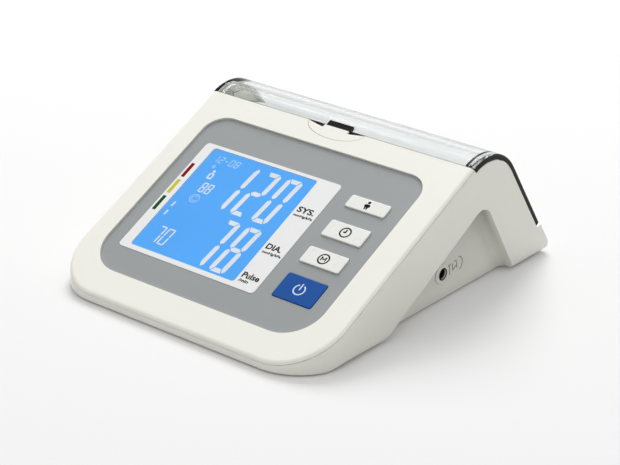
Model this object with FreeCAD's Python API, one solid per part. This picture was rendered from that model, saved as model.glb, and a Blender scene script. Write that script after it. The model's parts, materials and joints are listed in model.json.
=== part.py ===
import FreeCAD, Part
import math
import os

from FreeCAD import Vector

# Desktop arm-cuff blood pressure monitor: a wedge with a sloped face, arched sides and a clear
# lid over the cuff compartment.  Millimetres.  X runs left to right, Y from the front edge to
# the back and Z up from the table.  Every sub-part is drawn with the front edge at Y = 0 and is
# moved at export, so that the origin is under the middle of the whole object.  Places on the
# sloped face are given as u across, v up the slope from the front edge and d below the face.

# ---------------------------------------------------------------- driving dimensions: housing
width = 150.0
panel_angle = 26.3          # slope of the face, degrees
panel_length = 125.3        # along the slope, from the front edge to the lid
front_height = 5.1          # top of the front edge above the table
toe_height = 5.665          # end of the back's slope above the table
rear_angle = 56.5           # slope of the back, degrees below horizontal
crown_radius = 24.5         # bend of the lid from the face to the back
corner_radius = 26.0        # front corners, seen from above
edge_round = 2.2            # rounding round the face
side_base_round = 3.0       # rounding along the lower edges of the sides
toe_round = 2.0             # rounding at the foot of the back
foot_height = 1.0           # rubber feet stand this far below the base
wall = 2.0
floor_thickness = 2.4
cover_thickness = 3.0
rim_height = 1.0            # height of the front cover's visible rim
parting_gap = 0.25          # shadow line between the front cover and the base
liner_gap = 0.2             # cover's inner plate inside the base's walls

# side arches
arch_start = 50.4           # where the arch leaves the table, from the front edge
rear_leg = 27.4             # foot of the leg behind the arch, along the table
front_taper = 3.2           # arch's front line is this much steeper than the face, degrees
rear_taper = 2.4            # arch's rear line is this much steeper than the back, degrees
arch_depth = 7.0
arch_apex_round = 8.0
arch_blend = 3.0

# ---------------------------------------------------------------- driving dimensions: fascia
fascia_left_margin, fascia_right_margin = 11.5, 14.2
fascia_bottom, fascia_top_margin = 14.4, 12.3
fascia_top_round, fascia_bottom_round = 11.0, 17.5
fascia_recess = 1.0         # fascia's face below the cover's face
fascia_thickness = 0.8
frame_inset_left, frame_to_keys = 7.8, 7.9
frame_inset_bottom, frame_inset_top = 14.2, 16.5
frame_round = 2.0
frame_proud = 0.15          # display frame above the fascia
window_inset_left, window_inset_right = 5.6, 12.8
window_inset_bottom, window_inset_top = 2.6, 1.8
window_round = 1.5
window_sunk = 0.15          # window's face below the frame's face

key_width, key_inset_right = 21.3, 8.2
key_column_shift = -1.25    # middle of the column of keys from the middle of the fascia
key_round = 1.0
key_travel = 0.7
key_edge = 0.35             # rounding of a key's top edge
key_flange = 1.0            # flange that keeps a key in, on each side and in thickness
key_rows = {                # from the top: space above, height, face below the cover's face
    "user_button": (0.0, 7.0, 0.2),
    "clock_button": (8.7, 9.4, 0.2),
    "memory_button": (7.1, 9.1, 0.2),
    "power_button": (6.8, 13.8, 0.65),
}

# ---------------------------------------------------------------- driving dimensions: lid, latch
lid_thickness = 2.5
lid_end_round = 1.2
lid_rib_height = 3.0
lid_rib_thickness = 1.4
lid_rib_front, lid_rib_rear = 3.5, 14.0     # ribs stop short of the lid's front edge and hinge
lid_opening = 105.0         # how far the lid turns, degrees
hinge_height = 17.2         # hinge axis above the table
hinge_inset = 27.0          # middle of each hinge from the side
hinge_base_width = 6.0
hinge_lid_width = 4.0
hinge_web = 4.5             # length of the web that carries a knuckle
knuckle_radius = 2.3
pin_radius = 1.0
rim_thickness = 1.6         # upstand of the base inside the lid's lower end
rim_lip = 3.3               # thick lip of that upstand below the hinge axis
notch_width, notch_length = 14.8, 4.1
latch_middle = -0.6
latch_half_width, latch_sweep = 16.0, 7.3
latch_gap = 0.25
latch_travel = 1.2
latch_tongue_half = 6.9
latch_shoulder = 1.9        # how far the latch's shoulders stop short of the lid
latch_shoulder_end = 0.2    # the same, at the shoulders' outer ends
latch_flange = 0.8
latch_flange_back = 1.2     # the flange stops short of the lid by this
latch_stem = 1.5
stem_drop = 5.8             # stem's middle below the top edge of the face
latch_pocket = 4.0          # pocket for the catch below the top edge of the face
pocket_side = 1.0           # pocket beyond the catch on each side
catch_depth = 0.9           # catch's face below the face of the cover
catch_thickness = 1.9
heel_length, heel_thickness = 2.4, 1.0
spring_wire, spring_radius, spring_turns = 0.35, 2.6, 4
bracket_depth = 9.4         # latch bracket's upper face below the face of the cover
bracket_thickness = 1.2
bracket_half = 21.0
bracket_leg = 2.4
bracket_drop, bracket_width = 0.9, 9.4      # below the top edge of the face, and along it

# ---------------------------------------------------------------- driving dimensions: tray
tray_wall = 1.5
tray_clearance = 1.4        # tray's floor above the battery bay
tray_drop = 0.4             # tray's front wall starts this far below the top edge of the face
tray_lean = 14.0            # depth below the face at which the front wall turns upright
tray_leg_inset, tray_leg_radius, tray_leg_roof = 30.0, 3.4, 2.0

# ---------------------------------------------------------------- driving dimensions: display
board_side_margin = 21.0
board_inset_bottom, board_drop = 8.1, 12.8
board_depth = 9.2           # board's upper face below the face of the cover
board_thickness = 1.6
board_corner = 2.0
lcd_thickness, backlight_thickness = 2.2, 3.2
lcd_side_margin, lcd_end_margin = 2.6, 1.6
lcd_ledge = 6.0             # lcd glass beyond the window at the top, for its contacts
strip_start, strip_margin = 1.5, 0.5        # contact strip above the backlight, below the edge
holder_wall = 1.4
holder_seat = 0.2           # holder's rim below the cover's inner face
standoff_radius, standoff_bore = 2.6, 1.0
standoff_inset, standoff_low, standoff_drop = 3.5, 2.8, 4.0
board_screw_radius, board_screw_head, board_screw_cap = 0.95, 2.1, 1.4
board_screw_tip = 1.0       # screw's end below the cover's inner face
pad_thickness = 0.9
pad_margin = 1.0
dome_margin, dome_end, dome_shoulder = 3.0, 1.0, 1.2
chip_places = (             # from the board's left (+) or right (-) side, from its middle up
    (30.0, -5.5, 7.0, 7.0, 1.6),            # the slope, two half sizes and height
    (52.0, 16.5, 5.0, 4.0, 1.4),
    (-20.0, -27.5, 3.0, 4.5, 1.4),
    (-14.0, 28.5, 4.5, 3.0, 2.2),
    (14.0, 24.5, 3.0, 3.0, 2.0),
    (56.0, -27.5, 2.2, 5.0, 1.2),
)
capacitor_places = ((18.0, -21.5), (18.0, -13.0))
capacitor_radius, capacitor_height = 3.1, 9.0
buzzer_place = (-10.0, 12.0)
buzzer_radius, buzzer_height, buzzer_hole = 6.0, 6.5, 1.2
buzzer_wall = 0.8

# ---------------------------------------------------------------- driving dimensions: fasteners
post_radius, post_bore, post_counterbore = 4.2, 1.6, 3.1
post_inset = 16.0
post_roof = 3.0             # post's material above the screw's head
boss_radius, boss_bore = 3.6, 1.5
front_post_y, front_post_drop = 22.0, 7.97  # from the front edge, and top below the face
rear_post_y, rear_post_drop = 88.0, 18.6
screw_shank, screw_head, screw_cap = 1.45, 2.7, 1.8
screw_reach = 8.0           # longest thread in the cover
slot_width, slot_depth = 0.6, 0.7
tray_screw_cap, tray_screw_length, tray_screw_sunk = 1.2, 11.0, 0.1
foot_radius, foot_seat, foot_edge = 5.0, 0.8, 0.3
front_foot_inset, front_foot_y = 19.0, 12.0
rear_foot_inset, rear_foot_back = 13.0, 14.4

# ---------------------------------------------------------------- driving dimensions: power
cell_radius, cell_length, cell_edge = 7.1, 49.2, 0.7
nub_radius, nub_length = 2.7, 1.0
contact_thickness, contact_half = 0.4, 5.0
contact_spring, contact_radius, contact_wire, contact_turns = 3.6, 3.2, 0.35, 3
bay_wall = 1.4
door_overlap = 0.6          # floor under the ends of the bay
door_gap = 0.3
door_pin, door_pin_length = 0.7, 1.8
door_tongue, door_slit, door_slit_length = 7.0, 1.0, 9.0
grip_count, grip_pitch, grip_width, grip_depth, grip_half = 5, 1.5, 0.7, 0.5, 5.0
jack_bore, jack_depth, jack_pin, jack_pin_start = 2.9, 9.5, 1.0, 4.5
jack_sleeve, jack_body, jack_length = 4.0, 8.4, 12.0

# ---------------------------------------------------------------- driving dimensions: air line
motor_radius, motor_length, motor_edge = 12.0, 36.0, 1.5
motor_boss_radius, motor_boss_length = 4.0, 2.5
motor_room = 2.3            # motor's boss from the left rear post
head_length, head_width, head_height, head_round = 20.0, 26.0, 24.0, 2.0
groove_width, groove_depth = 0.8, 0.8
groove_places = (6.0, 12.0)
pump_seat = 0.4             # gap between the motor and the floor
mount_length, mount_half = 6.0, 11.0
mount_end = 5.0             # mounts from the motor's ends
mount_clasp = 3.0           # mounts' top below the motor's axis
air_height = 9.5            # air line above the table
nozzle_radius, nozzle_bore, nozzle_length = 1.6, 0.9, 4.6
tube_bore, tube_radius = 1.65, 2.75
tube_end = 0.2              # tubes stop this far short of the bodies they are pushed towards
manifold_run = 14.0         # manifold's middle from the pump's head
manifold_half, manifold_arm = 3.5, 6.0
sensor_up = 60.0            # pressure sensor's place up the slope
sensor_half, sensor_height = 5.0, 3.0
valve_width, valve_length, valve_height = 14.0, 6.8, 13.0
valve_run = 5.9             # valve from the manifold
socket_y, socket_z = 100.4, 13.2
socket_bore, socket_depth = 2.3, 10.0
socket_length, socket_lip, socket_lip_round = 11.0, 0.8, 0.4
socket_body, socket_flange = 3.9, 4.6
socket_bends = (0.47, 0.73)                 # bends of the socket's tube, as shares of its run
clip_width, clip_thickness, clip_grip = 1.8, 1.0, 0.03

# ---------------------------------------------------------------- clearances
gap = 0.3                   # between a moving piece and its surroundings
fit = 0.1                   # between pieces that are laid into each other
running = 0.06              # radial clearance of a pin in its bore
root = 1.0                  # how far a joined-on pin or nozzle reaches into its body
over = 5.0                  # cutting tools start this far outside the face they cut
far = 400.0                 # reach of a cutting block, beyond every face of the object
runs_per_turn = 12          # springs are bent in this many short runs a turn

# ---------------------------------------------------------------- derived frame of the shape
slope = math.radians(panel_angle)
back = math.radians(rear_angle)
base_bottom = foot_height
floor_top = base_bottom + floor_thickness
half = width / 2.0
top_y = panel_length * math.cos(slope)
top_z = front_height + panel_length * math.sin(slope)
crown_y = top_y + crown_radius * math.sin(slope)
crown_z = top_z - crown_radius * math.cos(slope)


def rise(y):
    """Height of the sloped face above the table at a distance from the front edge."""
    return front_height + y * math.tan(slope)


def arc_point(angle, inset):
    """Point of the lid's bend in the YZ plane; the angle is taken from straight up, backwards."""
    radius = crown_radius - inset
    return Vector(0, crown_y + radius * math.sin(angle), crown_z + radius * math.cos(angle))


def back_point(along, inset):
    """Point of the back in the YZ plane: down the slope from the bend, and in from the surface."""
    start = arc_point(back, inset)
    return start + Vector(0, math.cos(back), -math.sin(back)) * along


def back_at_height(z, inset):
    """Point of the back at a given height, a given distance in from the surface."""
    start = arc_point(back, inset)
    return back_point((start.z - z) / math.sin(back), inset)


depth = back_at_height(toe_height, 0.0).y
under_lid = lid_thickness + gap
hinge_axis = back_at_height(hinge_height, lid_thickness / 2.0)
hinge_along = (arc_point(back, lid_thickness / 2.0).z - hinge_height) / math.sin(back)
hinge_places = (-half + hinge_inset, half - hinge_inset)
arch_face = half - arch_depth

# fascia, display and keys on the face
fascia_left, fascia_right = -half + fascia_left_margin, half - fascia_right_margin
fascia_top = panel_length - fascia_top_margin
key_right = fascia_right - key_inset_right
key_left = key_right - key_width
key_column = sum(space + height for space, height, _ in key_rows.values())
key_top = (fascia_bottom + fascia_top + key_column) / 2.0 + key_column_shift
frame_left, frame_right = fascia_left + frame_inset_left, key_left - frame_to_keys
frame_bottom, frame_top = fascia_bottom + frame_inset_bottom, fascia_top - frame_inset_top
window_left, window_right = frame_left + window_inset_left, frame_right - window_inset_right
window_bottom, window_top = frame_bottom + window_inset_bottom, frame_top - window_inset_top
flange_top = cover_thickness + fit

# display stack and board below the face
lcd_left, lcd_right = window_left - lcd_side_margin, window_right + lcd_side_margin
lcd_bottom, lcd_top = window_bottom - lcd_end_margin, window_top + lcd_end_margin
lcd_back = cover_thickness + lcd_thickness
light_back = lcd_back + backlight_thickness
strip_bottom, strip_top = lcd_top + strip_start, lcd_top + lcd_ledge - strip_margin
board_half = half - board_side_margin
board_bottom, board_top = fascia_bottom + board_inset_bottom, panel_length - board_drop
board_middle = (board_bottom + board_top) / 2.0
board_back = board_depth + board_thickness
standoff_places = [(u, v) for v in (board_bottom + standoff_low, board_top - standoff_drop)
                   for u in (-board_half + standoff_inset, board_half - standoff_inset)]

# posts in the base (across, from the front edge, and height of the top) and feet below it
post_places = [(side * (half - post_inset), y, rise(y) - drop)
               for y, drop in ((front_post_y, front_post_drop), (rear_post_y, rear_post_drop))
               for side in (-1, 1)]
foot_places = [(side * (half - inset), y)
               for inset, y in ((front_foot_inset, front_foot_y),
                                (rear_foot_inset, depth - rear_foot_back))
               for side in (-1, 1)]

# air line: the pump lies as far forward as the board above it allows
head_top = floor_top + pump_seat + head_height
pump_front = (head_top + gap + board_back / math.cos(slope) - front_height) / math.tan(slope)
pump_middle = pump_front + head_width / 2.0
pump_height = floor_top + pump_seat + motor_radius
motor_left = -half + post_inset + post_radius + motor_room + motor_boss_length
head_left = motor_left + motor_length
head_right = head_left + head_length
manifold_x = head_right + manifold_run
valve_front = pump_middle + manifold_half + valve_run

# battery bay behind the sockets, the pump and the valve, with the tray on legs behind it
bay_inner_half = cell_length + nub_length + contact_spring / 2.0 + contact_thickness
bay_front = gap + bay_wall + max(socket_y + max(socket_body, jack_body / 2.0),
                                 pump_front + head_width, valve_front + valve_length)
cell_pitch = 2 * cell_radius + gap
bay_rear = bay_front + cell_pitch + 2 * (cell_radius + gap)
bay_ceiling = floor_top + 2 * (cell_radius + gap)
door_half = bay_inner_half - door_overlap
door_front, door_rear = bay_front + door_overlap, bay_rear - door_overlap
door_axis = Vector(0, door_front + door_gap + floor_thickness / 2.0,
                   base_bottom + floor_thickness / 2.0)
tray_bottom = bay_ceiling + bay_wall + tray_clearance
leg_places = [(side * (half - tray_leg_inset), bay_rear + bay_wall + gap + tray_leg_radius)
              for side in (-1, 1)]

X, Y, Z = Vector(1, 0, 0), Vector(0, 1, 0), Vector(0, 0, 1)
inward = Vector(0, math.sin(slope), -math.cos(slope))


# ---------------------------------------------------------------- helpers
def block(x0, x1, y0, y1, z0, z1):
    return Part.makeBox(x1 - x0, y1 - y0, z1 - z0, Vector(x0, y0, z0))


def rod(start, direction, length, radius):
    return Part.makeCylinder(radius, length, start, direction)


def ring(start, direction, length, outer_radius, bore):
    return rod(start, direction, length, outer_radius).cut(rod(start, direction, length, bore))


def along_x(x0, x1, centre, radius):
    """Round bar along X between two planes, about a point of the YZ plane."""
    return rod(Vector(x0, centre.y, centre.z), X, x1 - x0, radius)


def prism(points, x0, x1):
    """Solid between two X planes whose section is a closed polygon in YZ."""
    outline = [Vector(x0, p.y, p.z) for p in points]
    face = Part.Face(Part.makePolygon(outline + outline[:1]))
    return face.extrude(Vector(x1 - x0, 0, 0))


def plate(x0, x1, y0, y1, z0, z1, radii):
    """Rectangle in XY with its own corner radii, in the order front left, front right,
    rear right, rear left, raised from z0 to z1."""
    fl, fr, rr, rl = radii
    corners = ((x0, y0, fl, 180), (x1, y0, fr, 270), (x1, y1, rr, 0), (x0, y1, rl, 90))
    edges, last, first = [], None, None
    for x, y, r, start in corners:
        cx = x + (r if x == x0 else -r)
        cy = y + (r if y == y0 else -r)
        a, b = math.radians(start), math.radians(start + 90)
        ends = [Vector(cx + r * math.cos(t), cy + r * math.sin(t), z0) for t in (a, (a + b) / 2, b)]
        if last is not None and last.distanceToPoint(ends[0]) > 1e-6:
            edges.append(Part.LineSegment(last, ends[0]).toShape())
        if r > 1e-6:
            edges.append(Part.Arc(*ends).toShape())
        first = first or ends[0]
        last = ends[2]
    if last.distanceToPoint(first) > 1e-6:
        edges.append(Part.LineSegment(last, first).toShape())
    return Part.Face(Part.Wire(edges)).extrude(Vector(0, 0, z1 - z0))


def on_face(shape):
    """Carry a shape from the face's own frame (X, up the slope, out of the face) to the object."""
    placed = shape.copy()
    placed.rotate(Vector(0, 0, 0), X, panel_angle)
    placed.translate(Vector(0, 0, front_height))
    return placed


def face_point(u, v, d):
    """Point at u across and v up the face, d below it."""
    return Vector(u, v * math.cos(slope) + d * math.sin(slope),
                  front_height + v * math.sin(slope) - d * math.cos(slope))


def sheet(u0, u1, v0, v1, d0, d1, r=0.0):
    """Plate parallel to the face, from depth d0 to depth d1, with one corner radius or four."""
    radii = r if isinstance(r, tuple) else (r, r, r, r)
    return on_face(plate(u0, u1, v0, v1, -d1, -d0, radii))


def stub(u, v, d0, d1, radius):
    """Round bar square to the face, from depth d0 to depth d1."""
    return rod(face_point(u, v, d0), inward, d1 - d0, radius)


def above_depth(d, v_end):
    """Everything up the face as far as v_end that lies above a depth below the face."""
    return on_face(block(-far, far, -far, v_end, -d, far))


def coil(start, direction, radius, wire, length, turns):
    """Spring of round wire between two planes square to its axis, bent in short runs."""
    runs = turns * runs_per_turn
    points = []
    for k in range(runs + 1):
        angle = math.radians(360.0 * k / runs_per_turn)
        points.append(Vector(radius * math.cos(angle), radius * math.sin(angle),
                             wire + (length - 2 * wire) * k / runs))
    section = Part.Wire(Part.makeCircle(wire, points[0], points[1] - points[0]))
    spring = Part.makePolygon(points).makePipeShell([section], True, False, 1)
    spring.Placement = FreeCAD.Placement(start, FreeCAD.Rotation(Z, direction))
    return spring


def route(points, radius, bore):
    """Tube along straight runs joined by tangent arcs; prints the radius of each bend."""
    edges, here = [], points[0]
    for before, corner, after in zip(points, points[1:], points[2:]):
        run_in, run_out = corner - before, after - corner
        half_turn = run_in.getAngle(run_out) / 2.0
        cut = 0.45 * min(run_in.Length, run_out.Length)
        bend = cut / math.tan(half_turn)
        unit_in, unit_out = Vector(run_in).normalize(), Vector(run_out).normalize()
        arc_in, arc_out = corner - unit_in * cut, corner + unit_out * cut
        middle = Vector(unit_out - unit_in).normalize()
        crest = corner + middle * (bend / math.cos(half_turn) - bend)
        edges.append(Part.LineSegment(here, arc_in).toShape())
        edges.append(Part.Arc(arc_in, crest, arc_out).toShape())
        print("bend radius %.2f" % bend)
        here = arc_out
    edges.append(Part.LineSegment(here, points[-1]).toShape())
    path = Part.Wire(edges)
    tubes = []
    for r in (radius, bore):
        circle = Part.Wire(Part.makeCircle(r, points[0], points[1] - points[0]))
        tubes.append(path.makePipeShell([circle], True, True))
    return tubes[0].cut(tubes[1])


def both_sides(shape):
    """The shape together with its mirror image across the centre plane."""
    return [shape, shape.mirror(Vector(0, 0, 0), X)]


def fuse_all(shape, others):
    for other in others:
        shape = shape.fuse(other)
    return shape


def cut_all(shape, others):
    for other in others:
        shape = shape.cut(other)
    return shape


made = {}


def keep(name, *shapes):
    """Store a sub-part: one solid, or a group of separate solids."""
    solids = []
    for shape in shapes:
        solids += shape.removeSplitter().Solids
    made[name] = solids[0] if len(solids) == 1 else Part.makeCompound(solids)


# ---------------------------------------------------------------- outer form
def arch_tool(grow, depth_in):
    """Triangular side pocket of the right side, grown by a wall, reaching depth_in from the side."""
    lower = base_bottom - 6 * over
    a, b = math.radians(panel_angle + front_taper), math.radians(rear_angle + rear_taper)

    def front_y(z):
        return arch_start - grow / math.sin(a) + (z - base_bottom) / math.tan(a)

    def rear_y(z):
        return depth - rear_leg + grow / math.sin(b) - (z - base_bottom) / math.tan(b)

    span = rear_y(base_bottom) - front_y(base_bottom)
    apex_z = base_bottom + span / (1 / math.tan(a) + 1 / math.tan(b))
    points = [Vector(0, front_y(lower), lower), Vector(0, rear_y(lower), lower),
              Vector(0, front_y(apex_z), apex_z)]
    inner_x = half - depth_in
    tool = prism(points, inner_x, half + over)
    ridge = [e for e in tool.Edges if all(abs(v.Z - apex_z) < 1e-6 for v in e.Vertexes)]
    tool = tool.makeFillet(arch_apex_round + grow, ridge)
    inner = [e for e in tool.Edges if all(abs(v.X - inner_x) < 1e-6 for v in e.Vertexes)
             and any(v.Z > lower + over for v in e.Vertexes)]
    return tool.makeFillet(arch_blend + grow / 2.0, inner)


def envelope():
    """Housing without the lid, as one solid: the face, the sides, the cheeks and the back."""
    step = arc_point(-slope, under_lid)
    bend_end = arc_point(back, under_lid)
    front = [Vector(0, 0, base_bottom), Vector(0, 0, front_height), arc_point(-slope, 0.0), step]
    rest = [bend_end, back_point(hinge_along, under_lid), back_point(hinge_along, 0.0),
            Vector(0, depth, toe_height), Vector(0, depth, base_bottom), front[0]]
    lines = [Part.LineSegment(a, b).toShape() for a, b in zip(front, front[1:])]
    lines.append(Part.Arc(step, arc_point((back - slope) / 2, under_lid), bend_end).toShape())
    lines += [Part.LineSegment(a, b).toShape() for a, b in zip(rest, rest[1:])]
    side = Part.Face(Part.Wire(lines))
    side.translate(Vector(-half, 0, 0))
    body = side.extrude(Vector(width, 0, 0))
    body = body.common(plate(-half, half, 0, depth + over, -over, far,
                             (corner_radius, corner_radius, 0, 0)))

    def on_rim(edge):
        ends = [v.Point for v in edge.Vertexes]
        level = all(abs(p.z - rise(p.y)) < 1e-4 for p in ends)
        return level and not all(abs(p.y - top_y) < 1e-4 for p in ends)

    def on_toe(edge):
        ends = [v.Point for v in edge.Vertexes]
        return all(abs(p.y - depth) < 1e-4 for p in ends) and abs(ends[0].z - ends[-1].z) < 1e-4

    body = body.makeFillet(edge_round, [e for e in body.Edges if on_rim(e)])
    body = body.makeFillet(toe_round, [e for e in body.Edges if on_toe(e)])
    section = plate(-half, half, base_bottom, far, 0, depth + 2 * over,
                    (side_base_round, side_base_round, 0, 0))
    section.rotate(Vector(0, 0, 0), X, 90)
    section.translate(Vector(0, depth + over, 0))
    return body.common(section)


def plan_inset(inset, z0, z1):
    """Plan outline of the housing, set in by a distance."""
    r = corner_radius - inset
    return plate(-half + inset, half - inset, inset, depth - inset, z0, z1, (r, r, 0, 0))


outer = envelope()
arches = both_sides(arch_tool(0.0, arch_depth))


# ---------------------------------------------------------------- front cover and fascia
def key_spans():
    """Lower and upper edge of each key up the face."""
    spans, high = {}, key_top
    for name, (space, height, _) in key_rows.items():
        high -= space
        spans[name] = (high - height, high)
        high -= height
    return spans


def key_holes(grow, d0, d1):
    """Cutting plates for the four keys, grown by a clearance."""
    return [sheet(key_left - grow, key_right + grow, low - grow, high + grow, d0, d1,
                  key_round + grow) for low, high in key_spans().values()]


def half_moon(grow, d0, d1, v_end):
    """Half ellipse that hangs from the top edge of the face."""
    ellipse = Part.Ellipse(Vector(0, 0, 0), latch_half_width + grow, latch_sweep + grow)
    disc = Part.Face(Part.Wire(ellipse.toShape())).extrude(Vector(0, 0, d1 - d0))
    disc.translate(Vector(latch_middle, panel_length, -d1))
    return on_face(disc.common(block(-far, far, 0, v_end, -far, far)))


def front_cover():
    """Sloped top shell: a rim that shows, an inner plate, screw bosses and board standoffs."""
    inside = plan_inset(wall + liner_gap, floor_top + liner_gap, far)
    slab = on_face(block(-far, far, -far, panel_length, -cover_thickness, 0))
    cover = outer.common(above_depth(rim_height, panel_length)).fuse(inside.common(slab))
    below = inside.common(on_face(block(-far, far, -far, panel_length, -far,
                                        -cover_thickness / 2)))
    cover = fuse_all(cover, [ring(Vector(*place), Z, far, boss_radius, boss_bore).common(below)
                             for place in post_places])
    cover = fuse_all(cover, [stub(u, v, cover_thickness / 2, board_depth, standoff_radius)
                             for u, v in standoff_places])
    cover = cut_all(cover, [stub(u, v, cover_thickness, far, standoff_bore)
                            for u, v in standoff_places])
    radii = (fascia_bottom_round, fascia_bottom_round, fascia_top_round, fascia_top_round)
    cover = cover.cut(sheet(fascia_left, fascia_right, fascia_bottom, fascia_top, -over,
                            fascia_recess + fascia_thickness, radii))
    through = cover_thickness + fit
    cover = cover.cut(sheet(window_left, window_right, window_bottom, window_top, -over, through,
                            window_round))
    cover = cut_all(cover, key_holes(gap - fit, -over, through))
    keep("front_cover", cover.cut(half_moon(0.0, -over, through, panel_length + over)))


def fascia():
    """Grey panel, white display frame and clear window, laid into the cover."""
    bottom = fascia_recess + fascia_thickness
    radii = tuple(r - fit for r in (fascia_bottom_round, fascia_bottom_round,
                                    fascia_top_round, fascia_top_round))
    panel = sheet(fascia_left + fit, fascia_right - fit, fascia_bottom + fit, fascia_top - fit,
                  fascia_recess, bottom, radii)
    panel = panel.cut(sheet(frame_left, frame_right, frame_bottom, frame_top, -over, far,
                            frame_round))
    keep("control_panel", cut_all(panel, key_holes(gap - fit, -over, far)))

    top = fascia_recess - frame_proud
    frame = sheet(frame_left + fit, frame_right - fit, frame_bottom + fit, frame_top - fit,
                  top, bottom, frame_round - fit)
    keep("display_frame", frame.cut(sheet(window_left, window_right, window_bottom, window_top,
                                          -over, far, window_round)))
    keep("display_window", sheet(window_left + fit, window_right - fit, window_bottom + fit,
                                 window_top - fit, top + window_sunk, cover_thickness,
                                 window_round - fit))


def keys():
    """Four keys, each a cap in the fascia's hole with a flange under the cover."""
    bottom = flange_top + key_flange
    for name, (low, high) in key_spans().items():
        top = key_rows[name][2]
        cap = sheet(key_left, key_right, low, high, top, bottom, key_round)
        level = face_point(0, 0, top)
        rim = [e for e in cap.Edges
               if all(abs((v.Point - level).dot(inward)) < 1e-5 for v in e.Vertexes)]
        flange = sheet(key_left - key_flange, key_right + key_flange, low - key_flange,
                       high + key_flange, flange_top, bottom)
        keep(name, cap.makeFillet(key_edge, rim).fuse(flange))


# ---------------------------------------------------------------- base
def base_knuckle(middle, grow):
    """Span along X of a base knuckle, widened by a clearance."""
    reach = hinge_base_width / 2.0 + grow
    return middle - reach, middle + reach


def lid_knuckles(middle, grow):
    """Spans along X of the lid's two knuckles on either hand of a base knuckle."""
    near = hinge_base_width / 2.0 + gap - grow
    reach = hinge_base_width / 2.0 + gap + hinge_lid_width + grow
    return (middle - reach, middle - near), (middle + near, middle + reach)


def open_lid_room():
    """Space that the lower end of the lid sweeps through as far as its full opening."""
    reach = 12 * lid_thickness
    rays = [math.radians(180.0 - rear_angle - turn)
            for turn in (0.0, lid_opening / 2, lid_opening)]
    points = [hinge_axis]
    points += [hinge_axis + Vector(0, math.cos(ray), math.sin(ray)) * reach for ray in rays]
    below = Vector(0, math.sin(rays[-1]), -math.cos(rays[-1])) * (lid_thickness / 2.0 + gap)
    points += [points[-1] + below, hinge_axis + below]
    return prism(points, -far, far)


def base_cavity():
    """Hollow of the base: it leaves an upstand behind the lid and a thick lip under the hinge."""
    rim_in = under_lid + rim_thickness
    lip_end = hinge_along + rim_lip
    points = [Vector(0, -far, floor_top), Vector(0, -far, far), Vector(0, far, far),
              Vector(0, far, tray_bottom), back_at_height(tray_bottom, rim_in),
              back_point(lip_end, rim_in), back_point(lip_end, wall),
              back_at_height(floor_top, wall)]
    cavity = prism(points, -half + wall, half - wall).common(plan_inset(wall, 0, far))
    return cut_all(cavity, both_sides(arch_tool(wall, arch_depth + wall)))


def add_hinges(shell):
    """Base knuckles with their webs and pin bores, and room for the lid's knuckles."""
    rim_in = under_lid + rim_thickness
    for middle in hinge_places:
        for x0, x1 in lid_knuckles(middle, gap):
            shell = shell.cut(along_x(x0, x1, hinge_axis, knuckle_radius + gap))
        x0, x1 = base_knuckle(middle, 0.0)
        web = prism([hinge_axis, back_point(hinge_along + hinge_web, gap),
                     back_point(hinge_along + hinge_web, rim_in),
                     back_point(hinge_along, rim_in)], x0, x1)
        shell = shell.fuse(along_x(x0, x1, hinge_axis, knuckle_radius)).fuse(web)
        shell = shell.cut(along_x(x0 - gap, x1 + gap, hinge_axis, pin_radius))
    return shell


def base_shell():
    """Lower housing: floor, sides with arches, cheeks, back leg, posts, seats and openings."""
    shell = outer.cut(above_depth(rim_height + parting_gap, panel_length))
    shell = cut_all(shell.cut(base_cavity()), arches)
    shell = shell.cut(along_x(-far, far, hinge_axis, lid_thickness / 2 + gap))
    shell = add_hinges(shell.cut(open_lid_room()))
    for x, y, z in post_places:
        shell = shell.fuse(rod(Vector(x, y, base_bottom), Z, z - base_bottom, post_radius))
        shell = shell.cut(rod(Vector(x, y, -over), Z, far, post_bore))
        shell = shell.cut(rod(Vector(x, y, -over), Z, z - post_roof + over, post_counterbore))
    shell = cut_all(shell, [rod(Vector(x, y, -over), Z, over + base_bottom + foot_seat,
                                foot_radius + fit) for x, y in foot_places])
    head_seat = base_bottom + tray_screw_sunk + tray_screw_cap
    for x, y in leg_places:
        shell = shell.cut(rod(Vector(x, y, -over), Z, over + head_seat, screw_head + fit))
        shell = shell.cut(rod(Vector(x, y, -over), Z, over + floor_top + fit, screw_shank + fit))
    shell = shell.cut(block(-door_half, door_half, door_front, door_rear, -over, floor_top + fit))
    pin_reach = door_half - door_gap + door_pin_length + gap
    shell = shell.cut(along_x(-pin_reach, pin_reach, door_axis, door_pin + running))
    for side, radius in ((1, socket_body), (-1, jack_sleeve)):
        start = Vector(side * (arch_face + over), socket_y, socket_z)
        shell = shell.cut(rod(start, X * -side, wall + 2 * over, radius + fit))
    keep("base_shell", shell)


def feet():
    pads = []
    for x, y in foot_places:
        pad = rod(Vector(x, y, 0), Z, foot_height + foot_seat, foot_radius)
        low = [e for e in pad.Edges if all(abs(v.Z) < 1e-6 for v in e.Vertexes)]
        pads.append(pad.makeFillet(foot_edge, low))
    keep("rubber_feet", *pads)


def pan_screw(start, cap, length):
    """Slotted pan head screw that points up, from the underside of its head."""
    body = rod(start, Z, cap, screw_head).fuse(rod(start, Z, length, screw_shank))
    return body.cut(block(start.x - screw_head, start.x + screw_head, start.y - slot_width / 2,
                          start.y + slot_width / 2, start.z - over, start.z + slot_depth))


def housing_screws():
    """Screws from below, through the posts into the cover's bosses."""
    screws = []
    for x, y, z in post_places:
        room = rise(y - screw_shank) - cover_thickness / math.cos(slope) - z - gap
        start = Vector(x, y, z - post_roof - screw_cap)
        length = screw_cap + post_roof + min(screw_reach, room)
        screws.append(pan_screw(start, screw_cap, length))
    keep("housing_screws", *screws)


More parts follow.
